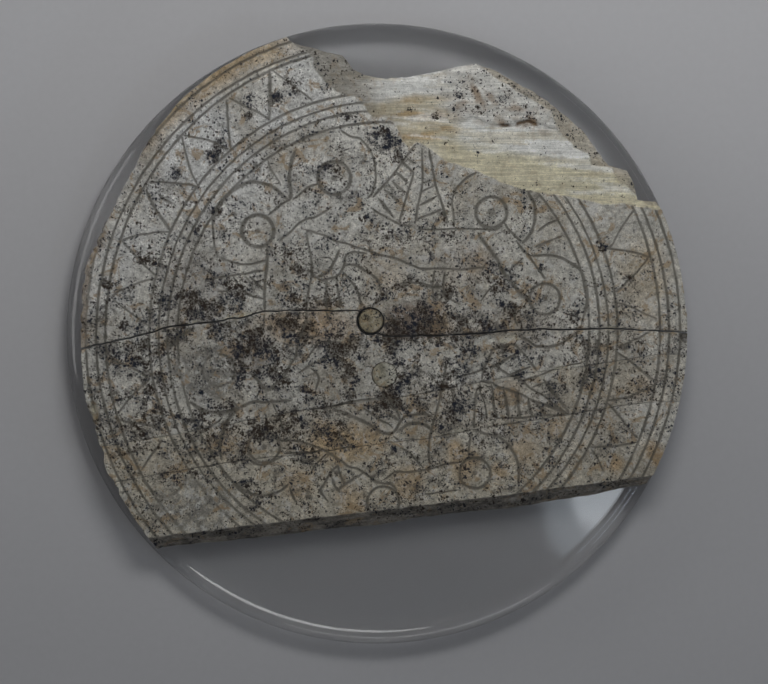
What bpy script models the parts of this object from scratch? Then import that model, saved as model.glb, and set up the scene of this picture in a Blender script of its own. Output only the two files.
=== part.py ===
"""Engraved round plate, broken and put together again, on a clear display disc.

Units are metres with +Z up. The origin is the centre of the clear disc's underside, +Y is the top of the engraved
design and +X its right-hand side. The clear disc lies flat; the plate's fragments lie on it side by side, and a small
loose peg stands in the round hole on the open crack.

Sizes below are in millimetres, and mm() turns them into metres.
"""

import math

import bmesh
import bpy
from mathutils import Matrix, Vector

# ---------------------------------------------------------------- driving dimensions (mm)
DISC_R = 50.8  # clear disc: a common 4 inch blank
DISC_T = 6.0
DISC_ROUND = 2.9  # the edge is polished to a nearly full round
SEAT_GAP = 0.3  # clearance between the clear disc and what lies on it
PLATE_T = 3.2  # full thickness of the engraved plate
PLATE_R = 50.6  # plate edge where none of it is lost, flush with the clear disc
FLAKE_DEEP = 1.1  # thickness of the lost face layer at the upper right
EDGE_FLAKE_DEEP = 2.0  # the lower terrace along the outer broken edge
OPEN_CRACK = 0.4  # width of the open crack through the hole
HAIRLINE = 0.3  # width of the two hairline cracks
HOLE = (-1.0, 2.0)  # centre of the hole on the open crack
HOLE_R = 2.3
PEG_R = 1.95
PEG_SUNK = 0.35  # the loose peg's top lies this far below the face
SECOND_HOLE = (1.3, -6.7)
SECOND_PEG_R = 1.95
SECOND_HOLE_R = 2.25
BREAK_SLOPE = 2.2  # how far the lower break runs out from the face to the underside

PLATE_Z = DISC_T + SEAT_GAP
PLATE_TOP = PLATE_Z + PLATE_T

# The cracks run across the whole plate, left to right.
OPEN_LINE = [(-54, -3.4), (-47, -2.2), (-41.8, -1.1), (-33, 1.2), (-22.3, 2.5), (-18.3, 3.7), (-10, 3.7), (-3, 3.7),
             (-1.9, 2.9), (-0.2, 0.6), (0.3, -0.1), (1.6, -0.5), (8, -0.4), (13.9, -0.2), (21.6, 0.5), (34.9, 0.8),
             (43, 0.5), (54, 0.1)]
FIRST_LINE = [(-54, -19.8), (-45.4, -18.5), (-34, -16.7), (-22, -14.3), (-10.4, -12.2), (6.9, -9.9), (16, -8.1),
              (26.8, -6.1), (34.8, -5.3), (45.9, -3.3), (54, -3.6)]
SECOND_LINE = [(-54, -26), (-43.1, -24.2), (-23.9, -21), (-9, -19.2), (8.2, -17), (15.6, -15.7), (31.6, -13.1),
               (40, -11.7), (44.4, -11.2), (54, -10.8)]
# The lower break, at the face. It is nearly straight.
BREAK_LINE = [(-54, -35.3), (-37.3, -33.2), (-16, -30.6), (5, -28.2), (24, -25.8), (44.6, -23.1), (54, -21.9)]
# Where the outer edge has lost some of its margin: angle in degrees and radius.
RIM = [(-34, 50.6), (24, 50.6), (104, 50.5), (114, 50.3), (122, 50.0), (130, 49.6), (138, 48.8), (147, 47.7), (155, 47.5),
       (162, 48.1), (168, 48.7), (174, 48.4), (182, 48.2), (187, 48.3), (194, 48.8), (198, 48.4), (202, 48.6),
       (207, 49.3), (214, 49.4), (222, 49.9), (228, 50.0)]
# The broken outer edge at the upper right, from the right end of the break round to the rim at the top.
TOP_BREAK = [(46.5, 20.1), (45.5, 21.5), (42.4, 21.7), (42.1, 24.2), (40.9, 26.5), (37.8, 27.3), (35.6, 30.4),
             (33.2, 33.4), (27.8, 38.0), (23.2, 40.7), (19.3, 42.9), (16.2, 44.0), (10.4, 42.8), (5.0, 41.8),
             (1.6, 41.5), (-2.0, 42.2), (-3.7, 43.1), (-5.6, 45.4), (-11.7, 46.9), (-14.1, 47.6)]
# The edge of the lost face layer, from the rim at the top round to the right end.
FLAKE_EDGE = [(-14.6, 49.0), (-13.2, 46.4), (-7.6, 42.2), (-5.1, 38.9), (-0.7, 37.3), (2.6, 34.4), (5.5, 31.6),
              (8.7, 30.3), (16.1, 26.3), (25.0, 23.4), (30.7, 22.3), (43.0, 20.9), (52, 19.6)]
# The lower terrace just inside the outer broken edge.
TERRACE_EDGE = [(-16, 49), (-7.0, 44.2), (-4.4, 41.0), (1.5, 39.4), (8, 40.2), (11.5, 42.0), (20.5, 40.9),
                (24.5, 37.6), (29.5, 34.2), (33.4, 30.0), (36.2, 26.4), (40.3, 24.6), (40.9, 21.9), (46, 20.6)]


def mm(*values):
    return tuple(v * 0.001 for v in values)


def resample(line, step=1.6):
    """The polyline with its long runs divided, so that an offset follows it evenly."""
    out = [line[0]]
    for a, b in zip(line, line[1:]):
        n = max(1, round(math.dist(a, b) / step))
        out += [(a[0] + (b[0] - a[0]) * i / n, a[1] + (b[1] - a[1]) * i / n) for i in range(1, n + 1)]
    return out


def shifted(line, dy):
    return [(x, y + dy) for x, y in line]


def rim_radius(degrees):
    a = (degrees + 34) % 360 - 34
    for (a0, r0), (a1, r1) in zip(RIM, RIM[1:]):
        if a0 <= a <= a1:
            t = (a - a0) / (a1 - a0)
            return r0 + (r1 - r0) * t
    return PLATE_R


def inside_rim(p):
    return math.hypot(*p) < rim_radius(math.degrees(math.atan2(p[1], p[0])))


def meet_rim(line):
    """The part of a crossing line that lies inside the rim, ended exactly on it."""
    pts = resample(line, 0.5)
    keep = [i for i, p in enumerate(pts) if inside_rim(p)]
    first, last = keep[0], keep[-1]

    def on_rim(inner, outer):
        for _ in range(30):
            mid = ((inner[0] + outer[0]) / 2, (inner[1] + outer[1]) / 2)
            inner, outer = (mid, outer) if inside_rim(mid) else (inner, mid)
        return inner

    ends = on_rim(pts[first], pts[first - 1]), on_rim(pts[last], pts[last + 1])
    body = [p for p in line if ends[0][0] + 0.2 < p[0] < ends[1][0] - 0.2]
    return [ends[0], *body, ends[1]]


def rim_arc(start, end, step=3.0):
    """Rim points strictly between two angles, anticlockwise, in degrees."""
    while end < start:
        end += 360
    n = max(1, round((end - start) / step))
    out = []
    for i in range(1, n):
        a = start + (end - start) * i / n
        r = rim_radius(a)
        out.append((r * math.cos(math.radians(a)), r * math.sin(math.radians(a))))
    return out


def angle(p):
    return math.degrees(math.atan2(p[1], p[0]))


def clean_scene():
    for ob in list(bpy.data.objects):
        bpy.data.objects.remove(ob)


def collection(name):
    c = bpy.data.collections.new(name)
    bpy.context.scene.collection.children.link(c)
    return c


def material(name, colour, roughness, transmission=0.0, ior=1.5):
    m = bpy.data.materials.new(name)
    m.use_nodes = True
    p = m.node_tree.nodes["Principled BSDF"]
    p.inputs["Base Color"].default_value = (*colour, 1)
    p.inputs["Roughness"].default_value = roughness
    p.inputs["Metallic"].default_value = 0.0
    p.inputs["IOR"].default_value = ior
    p.inputs["Transmission Weight"].default_value = transmission
    return m


def outline_solid(name, points, z0, z1, where):
    """A flat outline made solid: a filled 2D curve with an extrude, turned into a welded mesh."""
    curve = bpy.data.curves.new(name + "_outline", "CURVE")
    curve.dimensions = "2D"
    curve.fill_mode = "BOTH"
    curve.extrude = (z1 - z0) / 2 * 0.001
    spline = curve.splines.new("POLY")
    spline.points.add(len(points) - 1)
    for p, (x, y) in zip(spline.points, points):
        p.co = (*mm(x, y), 0, 1)
    spline.use_cyclic_u = True
    ob = bpy.data.objects.new(name + "_outline", curve)
    ob.location.z = (z0 + z1) / 2 * 0.001
    where.objects.link(ob)
    bpy.context.view_layer.update()
    graph = bpy.context.evaluated_depsgraph_get()
    mesh = bpy.data.meshes.new_from_object(ob.evaluated_get(graph))
    mesh.name = name
    bm = bmesh.new()
    bm.from_mesh(mesh)
    bmesh.ops.remove_doubles(bm, verts=bm.verts, dist=0.00001)
    bmesh.ops.recalc_face_normals(bm, faces=bm.faces)
    bm.to_mesh(mesh)
    bm.free()
    solid = bpy.data.objects.new(name, mesh)
    solid.matrix_world = ob.matrix_world.copy()
    where.objects.link(solid)
    bpy.data.objects.remove(ob)
    return solid


def turned(name, profile, steps, where, centre=(0, 0)):
    """A turned shape: a profile of (radius, height) run from its top to its bottom, with a Screw modifier."""
    mesh = bpy.data.meshes.new(name)
    bm = bmesh.new()
    verts = [bm.verts.new(mm(r, 0, z)) for r, z in profile]
    for a, b in zip(verts, verts[1:]):
        bm.edges.new((a, b))
    bm.to_mesh(mesh)
    bm.free()
    ob = bpy.data.objects.new(name, mesh)
    ob.location = mm(*centre, 0)
    where.objects.link(ob)
    screw = ob.modifiers.new("turn", "SCREW")
    screw.axis = "Z"
    screw.angle = math.tau
    screw.steps = screw.render_steps = steps
    screw.use_merge_vertices = True
    screw.merge_threshold = 0.00001
    screw.use_normal_calculate = True
    return ob


def round_corner(r, z, radius, start, end, n=5):
    """Points on a quarter round about (r, z)."""
    return [(r + radius * math.cos(math.radians(start + (end - start) * i / n)),
             z + radius * math.sin(math.radians(start + (end - start) * i / n))) for i in range(n + 1)]


def hole_cutter(name, centre, radius, where, segments=48):
    mesh = bpy.data.meshes.new(name)
    bm = bmesh.new()
    bmesh.ops.create_cone(bm, cap_ends=True, segments=segments, radius1=radius * 0.001, radius2=radius * 0.001,
                          depth=0.02)
    bm.to_mesh(mesh)
    bm.free()
    ob = bpy.data.objects.new(name, mesh)
    ob.location = mm(*centre, PLATE_Z + PLATE_T / 2)
    where.objects.link(ob)
    return ob


def slope_cutter(name, line, run, where):
    """A block whose near face slopes from the face of the plate down and out to the underside, along the break."""
    (x0, y0), (x1, y1) = line[0], line[-1]
    along = math.atan2(y1 - y0, x1 - x0)
    tilt = math.atan2(run, PLATE_T)
    mesh = bpy.data.meshes.new(name)
    bm = bmesh.new()
    bmesh.ops.create_cube(bm, size=1.0)
    bmesh.ops.scale(bm, vec=mm(140, 20, 30), verts=bm.verts)
    bmesh.ops.translate(bm, vec=mm(0, -10, 0), verts=bm.verts)
    bm.to_mesh(mesh)
    bm.free()
    ob = bpy.data.objects.new(name, mesh)
    middle = Vector(mm((x0 + x1) / 2, (y0 + y1) / 2, PLATE_TOP))
    ob.matrix_world = (Matrix.Translation(middle) @ Matrix.Rotation(along, 4, "Z") @ Matrix.Rotation(-tilt, 4, "X"))
    where.objects.link(ob)
    return ob


def cut(ob, cutter):
    b = ob.modifiers.new("cut_" + cutter.name, "BOOLEAN")
    b.operation = "DIFFERENCE"
    b.solver = "EXACT"
    b.object = cutter


def hide_cutter(ob):
    ob.hide_render = True
    ob.display_type = "WIRE"


def smooth(ob, degrees=30):
    for f in ob.data.polygons:
        f.use_smooth = True
    ob.data.set_sharp_from_angle(angle=math.radians(degrees))


def main():
    clean_scene()
    parts = collection("engraved_disc_on_display_mount")
    cutters = collection("cutters")

    clear = material("clear_plastic", (0.95, 0.96, 0.97), 0.03, transmission=1.0, ior=1.49)
    face = material("engraved_plate", (0.33, 0.32, 0.29), 0.6)
    strip = material("engraved_strip", (0.36, 0.33, 0.27), 0.6)
    peg = material("smooth_peg", (0.30, 0.27, 0.19), 0.45)

    # The clear disc, turned from its edge profile.
    r, t, f = DISC_R, DISC_T, DISC_ROUND
    profile = [(0, t), (r * 0.5, t), *round_corner(r - f, t - f, f, 90, 0), *round_corner(r - f, f, f, 0, -90),
               (r * 0.5, 0), (0, 0)]
    disc = turned("display_disc", profile, 128, parts)

    # The outlines of the fragments, from the cracks, the rim and the broken edges.
    half, fine = OPEN_CRACK / 2, HAIRLINE / 2
    open_up = meet_rim(shifted(OPEN_LINE, half))
    open_down = meet_rim(shifted(OPEN_LINE, -half))
    first_up = meet_rim(shifted(FIRST_LINE, fine))
    first_down = meet_rim(shifted(FIRST_LINE, -fine))
    second_up = meet_rim(shifted(SECOND_LINE, fine))
    second_down = meet_rim(shifted(SECOND_LINE, -fine))
    foot = meet_rim(shifted(BREAK_LINE, -BREAK_SLOPE))

    upper_outline = [*open_up, *rim_arc(angle(open_up[-1]), angle(TOP_BREAK[0])), *TOP_BREAK,
                     *rim_arc(angle(TOP_BREAK[-1]), angle(open_up[0]) % 360)]
    middle_outline = [*first_up, *rim_arc(angle(first_up[-1]), angle(open_down[-1])), *reversed(open_down),
                      *rim_arc(angle(open_down[0]) % 360, angle(first_up[0]) % 360)]
    strip_outline = [*second_up, *rim_arc(angle(second_up[-1]), angle(first_down[-1])), *reversed(first_down),
                     *rim_arc(angle(first_down[0]) % 360, angle(second_up[0]) % 360)]
    lower_outline = [*foot, *rim_arc(angle(foot[-1]), angle(second_down[-1])), *reversed(second_down),
                     *rim_arc(angle(second_down[0]) % 360, angle(foot[0]) % 360)]

    upper = outline_solid("upper_fragment", upper_outline, PLATE_Z, PLATE_TOP, parts)
    middle = outline_solid("middle_fragment", middle_outline, PLATE_Z, PLATE_TOP, parts)
    narrow = outline_solid("strip_fragment", strip_outline, PLATE_Z, PLATE_TOP, parts)
    lower = outline_solid("lower_fragment", lower_outline, PLATE_Z, PLATE_TOP, parts)

    # The lost face layer, and the lower terrace at its outer edge.
    beyond = [(60, 19), (60, 60), (-16, 60)]
    flake = outline_solid("flake_cutter", [*FLAKE_EDGE, *beyond], PLATE_TOP - FLAKE_DEEP, PLATE_TOP + 4, cutters)
    terrace = outline_solid("terrace_cutter", [*TERRACE_EDGE, (60, 20.6), (60, 60), (-18, 60)],
                            PLATE_TOP - EDGE_FLAKE_DEEP, PLATE_TOP + 4, cutters)
    cut(upper, flake)
    cut(upper, terrace)

    # The holes, and the sloping lower break.
    hole = hole_cutter("hole_cutter", HOLE, HOLE_R, cutters)
    cut(upper, hole)
    cut(middle, hole)
    second = hole_cutter("second_hole_cutter", SECOND_HOLE, SECOND_HOLE_R, cutters)
    cut(middle, second)
    slope = slope_cutter("break_slope_cutter", BREAK_LINE, BREAK_SLOPE, cutters)
    cut(lower, slope)

    # The pegs: short turned pins with a softened top edge.
    top = PLATE_TOP - PEG_SUNK
    loose = turned("centre_peg", [(0, top), (PEG_R * 0.7, top - 0.03), (PEG_R - 0.15, top - 0.1),
                                  (PEG_R, top - 0.3), (PEG_R, PLATE_Z + 0.2), (PEG_R - 0.2, PLATE_Z), (0, PLATE_Z)],
                   40, parts, HOLE)
    top = PLATE_TOP - 0.05
    tight = turned("second_peg", [(0, top), (SECOND_PEG_R - 0.1, top - 0.02), (SECOND_PEG_R, top - 0.15),
                                  (SECOND_PEG_R, PLATE_Z + 0.2), (SECOND_PEG_R - 0.2, PLATE_Z), (0, PLATE_Z)],
                   40, parts, SECOND_HOLE)

    for ob, mat in ((disc, clear), (upper, face), (middle, face), (narrow, strip), (lower, face), (loose, peg),
                    (tight, peg)):
        ob.data.materials.clear()
        ob.data.materials.append(mat)
        smooth(ob)
    for ob in (flake, terrace, hole, second, slope):
        hide_cutter(ob)


main()
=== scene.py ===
import math

import bmesh
import bpy
import numpy as np
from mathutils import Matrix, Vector, kdtree
from mathutils.geometry import delaunay_2d_cdt


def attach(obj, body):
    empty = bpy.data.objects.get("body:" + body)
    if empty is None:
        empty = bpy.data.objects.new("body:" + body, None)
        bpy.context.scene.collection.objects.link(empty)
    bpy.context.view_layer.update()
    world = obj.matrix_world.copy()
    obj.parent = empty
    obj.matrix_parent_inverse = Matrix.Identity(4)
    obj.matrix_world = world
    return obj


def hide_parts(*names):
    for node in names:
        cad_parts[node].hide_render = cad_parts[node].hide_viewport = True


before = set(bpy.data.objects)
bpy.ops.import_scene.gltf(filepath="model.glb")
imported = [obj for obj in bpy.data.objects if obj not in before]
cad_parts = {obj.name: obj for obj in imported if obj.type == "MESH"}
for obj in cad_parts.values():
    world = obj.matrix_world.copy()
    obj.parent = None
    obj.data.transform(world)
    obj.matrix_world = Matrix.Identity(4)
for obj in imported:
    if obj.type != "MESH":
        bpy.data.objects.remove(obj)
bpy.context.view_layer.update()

# A broken engraved plate, in four fragments with two pegs, lying on a turned clear disc.
# Lengths in this file are millimetres until a mesh is made. The frame is the part's own.

DISC_R = 50.8
DISC_T = 6.0
PLATE_TOP = 9.48  # the engraved face
PLATE_FOOT = 6.02  # the underside, on the clear disc
PLATE_R = 50.6
HOLE = (-1.0, 2.0)
HOLE_R = 2.3
PEG_R = 1.98
SECOND_HOLE = (1.3, -6.7)
SECOND_HOLE_R = 2.12
SECOND_PEG_R = 2.08
BREAK_RUN = 2.2  # how far the lower break runs out below the face

# The cracks run across the whole plate, left to right.
OPEN_LINE = [(-54, -3.4), (-47, -2.2), (-41.8, -1.1), (-33, 1.2), (-22.3, 2.5), (-18.3, 3.7), (-10, 3.7), (-3, 3.7),
             (-1.9, 2.9), (-0.2, 0.6), (0.3, -0.1), (1.6, -0.5), (8, -0.4), (13.9, -0.2), (21.6, 0.5), (34.9, 0.8),
             (43, 0.5), (54, 0.1)]
FIRST_LINE = [(-54, -19.8), (-45.4, -18.5), (-34, -16.7), (-22, -14.3), (-10.4, -12.2), (6.9, -9.9), (16, -8.1),
              (26.8, -6.1), (34.8, -5.3), (45.9, -3.3), (54, -3.6)]
SECOND_LINE = [(-54, -26), (-43.1, -24.2), (-23.9, -21), (-9, -19.2), (8.2, -17), (15.6, -15.7), (31.6, -13.1),
               (40, -11.7), (44.4, -11.2), (54, -10.8)]
# The lower break, at the face.
BREAK_LINE = [(-54, -35.3), (-37.3, -33.2), (-16, -30.6), (5, -28.2), (24, -25.8), (44.6, -23.1), (54, -21.9)]
# The plate's outer edge: angle in degrees and radius.
RIM = [(-34, 50.6), (24, 50.6), (104, 50.5), (114, 50.3), (122, 50.0), (130, 49.6), (138, 48.8), (147, 47.7), (155, 47.5),
       (162, 48.1), (168, 48.7), (174, 48.4), (182, 48.2), (187, 48.3), (194, 48.8), (198, 48.4), (202, 48.6),
       (207, 49.3), (214, 49.4), (222, 49.9), (228, 50.0)]
# The broken outer edge at the upper right, from the right end of the break round to the rim at the top.
TOP_BREAK = [(46.5, 20.1), (45.5, 21.5), (42.4, 21.7), (42.1, 24.2), (40.9, 26.5), (37.8, 27.3), (35.6, 30.4),
             (33.2, 33.4), (27.8, 38.0), (23.2, 40.7), (19.3, 42.9), (16.2, 44.0), (10.4, 42.8), (5.0, 41.8),
             (1.6, 41.5), (-2.0, 42.2), (-3.7, 43.1), (-5.6, 45.4), (-11.7, 46.9), (-14.1, 47.6)]
# The edge of the engraved face where its top layer has come away, from the rim at the top to the right end.
FACE_EDGE = [(-15.5, 49.5), (-13.9, 47.5), (-13.0, 46.6), (-10.4, 44.8), (-10.5, 43.7), (-9.6, 42.2), (-8.1, 40.2),
             (-6.5, 39.1), (-4.5, 38.5), (-2.6, 38.1), (-1.5, 36.0), (-0.7, 35.1), (1.5, 34.9), (2.7, 34.3),
             (3.5, 32.9), (4.1, 31.4), (5.2, 30.3), (6.5, 31.0), (7.6, 30.5), (9.6, 29.2), (11.1, 28.1),
             (14.3, 27.0), (16.6, 26.2), (18.9, 25.1), (23.4, 23.6), (27.6, 22.7), (32.8, 21.8), (36.6, 21.0),
             (40.0, 21.0), (43.3, 20.3), (46.7, 20.0), (52, 19.7)]
# The outer edge of the fresh pale layer, above a lower and browner step.
PALE_EDGE = [(17.0, 43.2), (22.0, 39.8), (28.4, 36.2), (28.9, 34.2), (29.7, 32.9), (30.8, 31.7), (31.5, 31.0),
             (32.1, 30.1), (33.2, 29.5), (34.3, 29.0), (34.8, 27.3), (36.5, 27.0), (38.2, 26.9), (39.4, 24.6),
             (41.0, 23.4), (44, 21.0)]
# The step between the rough upper zone of the flaked area and the striated pale zone below it.
CREVICE = [(9.3, 37.9), (10.8, 36.4), (11.7, 33.7), (15.6, 35.1), (18.8, 33.8), (21.9, 33.8), (24.6, 34.7),
           (28.0, 33.6), (30.5, 32.2)]

# The turned circles: mean radius, then the wobble of each as cosines and sines of one, two and three turns.
CIRCLE_CENTRE = (1.22, -0.08)
CIRCLES = [
    (34.05, -0.20, -0.10, -0.55, 0.16, 0.10, 0.08),
    (35.76, -0.20, 0.03, -0.60, 0.22, 0.10, 0.04),
    (37.10, -0.19, 0.13, -0.49, 0.11, 0.11, -0.02),
    (38.69, -0.20, 0.07, -0.58, 0.12, 0.10, 0.05),
    (45.81, -0.24, 0.34, -0.69, 0.08, 0.03, 0.00),
    (47.09, -0.34, -0.04, -0.46, 0.12, 0.11, 0.07),
    (49.13, -0.45, 0.02, -0.75, 0.19, 0.25, 0.14),
]
# The zigzag between the two bands of circles: groove width and the points it is cut through.
ZIGZAG = [
    (0.46, [(-37.4, 23.1), (-36.7, 21.6), (-35.9, 20.2), (-35.0, 18.9), (-33.4, 16.6)]),
    (0.39, [(-35.4, 22.6), (-34.5, 21.8), (-33.2, 21.1)]),
    (0.31, [(-37.0, 24.6), (-34.6, 24.6), (-32.4, 24.4), (-30.5, 24.2), (-29.1, 23.8)]),
    (0.31, [(-31.7, 32.1), (-31.3, 30.3), (-30.7, 28.1), (-30.1, 26.2), (-29.1, 24.2)]),
    (0.31, [(-31.5, 32.3), (-29.6, 31.9), (-27.8, 31.6), (-26.3, 31.0), (-25.0, 30.3), (-23.9, 29.9)]),
    (0.31, [(-24.4, 37.8), (-24.2, 34.8), (-24.0, 32.0), (-23.7, 30.2)]),
    (0.31, [(-23.9, 38.3), (-21.1, 36.8), (-19.2, 35.9), (-17.4, 34.8)]),
    (0.46, [(-17.4, 42.7), (-17.3, 39.2), (-17.4, 36.6), (-17.5, 34.8)]),
    (0.25, [(-16.9, 42.8), (-14.1, 40.7), (-10.5, 37.9)]),
    (0.31, [(-41.5, 15.1), (-39.1, 15.9), (-36.7, 16.3), (-34.8, 16.5), (-33.4, 16.5)]),
    (0.31, [(-41.5, 15.2), (-39.6, 13.1), (-38.2, 11.7), (-37.1, 10.4), (-35.9, 9.4)]),
    (0.31, [(-36.3, 8.9), (-38.2, 8.4), (-40.0, 7.7), (-41.9, 6.9), (-43.2, 5.9)]),
    (0.25, [(-43.2, 5.9), (-41.9, 4.8), (-40.2, 3.5), (-37.3, 1.4)]),
    (0.31, [(-43.4, -3.9), (-41.9, -4.8), (-40.1, -5.4), (-36.9, -7.3)]),
    (0.31, [(-41.9, -12.8), (-40.6, -11.1), (-39.3, -9.6), (-37.5, -8.0), (-36.9, -7.4)]),
    (0.31, [(-42.1, -13.9), (-40.1, -14.5), (-38.4, -14.7), (-36.2, -15.1), (-34.5, -15.9)]),
    (0.31, [(-34.5, -16.8), (-35.8, -18.7), (-37.1, -20.4), (-38.2, -22.2)]),
    (0.31, [(-38.2, -23.5), (-37.3, -24.8), (-36.2, -26.1), (-34.5, -26.7)]),
    (0.31, [(-30.8, -23.3), (-31.6, -24.7), (-32.7, -25.9), (-34.3, -26.7)]),
    (0.31, [(42.0, 20.1), (40.8, 18.6), (39.6, 16.8), (38.3, 14.4), (37.3, 13.7)]),
    (0.31, [(37.3, 13.9), (39.3, 13.6), (41.6, 13.2), (44.3, 12.5)]),
    (0.31, [(44.3, 12.5), (42.7, 10.3), (41.3, 9.0), (40.0, 7.6), (38.9, 6.8)]),
    (0.25, [(39.1, 5.1), (41.3, 4.4), (43.3, 3.4), (45.7, 2.3)]),
    (0.31, [(44.5, 0.4), (43.0, -0.6), (41.6, -1.2), (40.3, -1.8), (39.0, -2.3)]),
    (0.31, [(38.9, -2.9), (40.6, -4.0), (42.7, -5.7), (44.0, -6.9), (45.3, -7.7)]),
    (0.31, [(45.0, -8.6), (43.3, -9.3), (41.6, -10.1), (40.0, -10.6), (37.8, -10.9)]),
    (0.31, [(37.8, -11.4), (39.1, -13.0), (40.6, -14.8), (41.6, -16.2), (42.5, -17.0)]),
    (0.31, [(42.3, -17.7), (40.3, -18.1), (37.9, -18.4), (34.7, -18.5)]),
    (0.31, [(34.9, -18.7), (35.9, -20.2), (36.9, -22.3)]),
]
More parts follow.
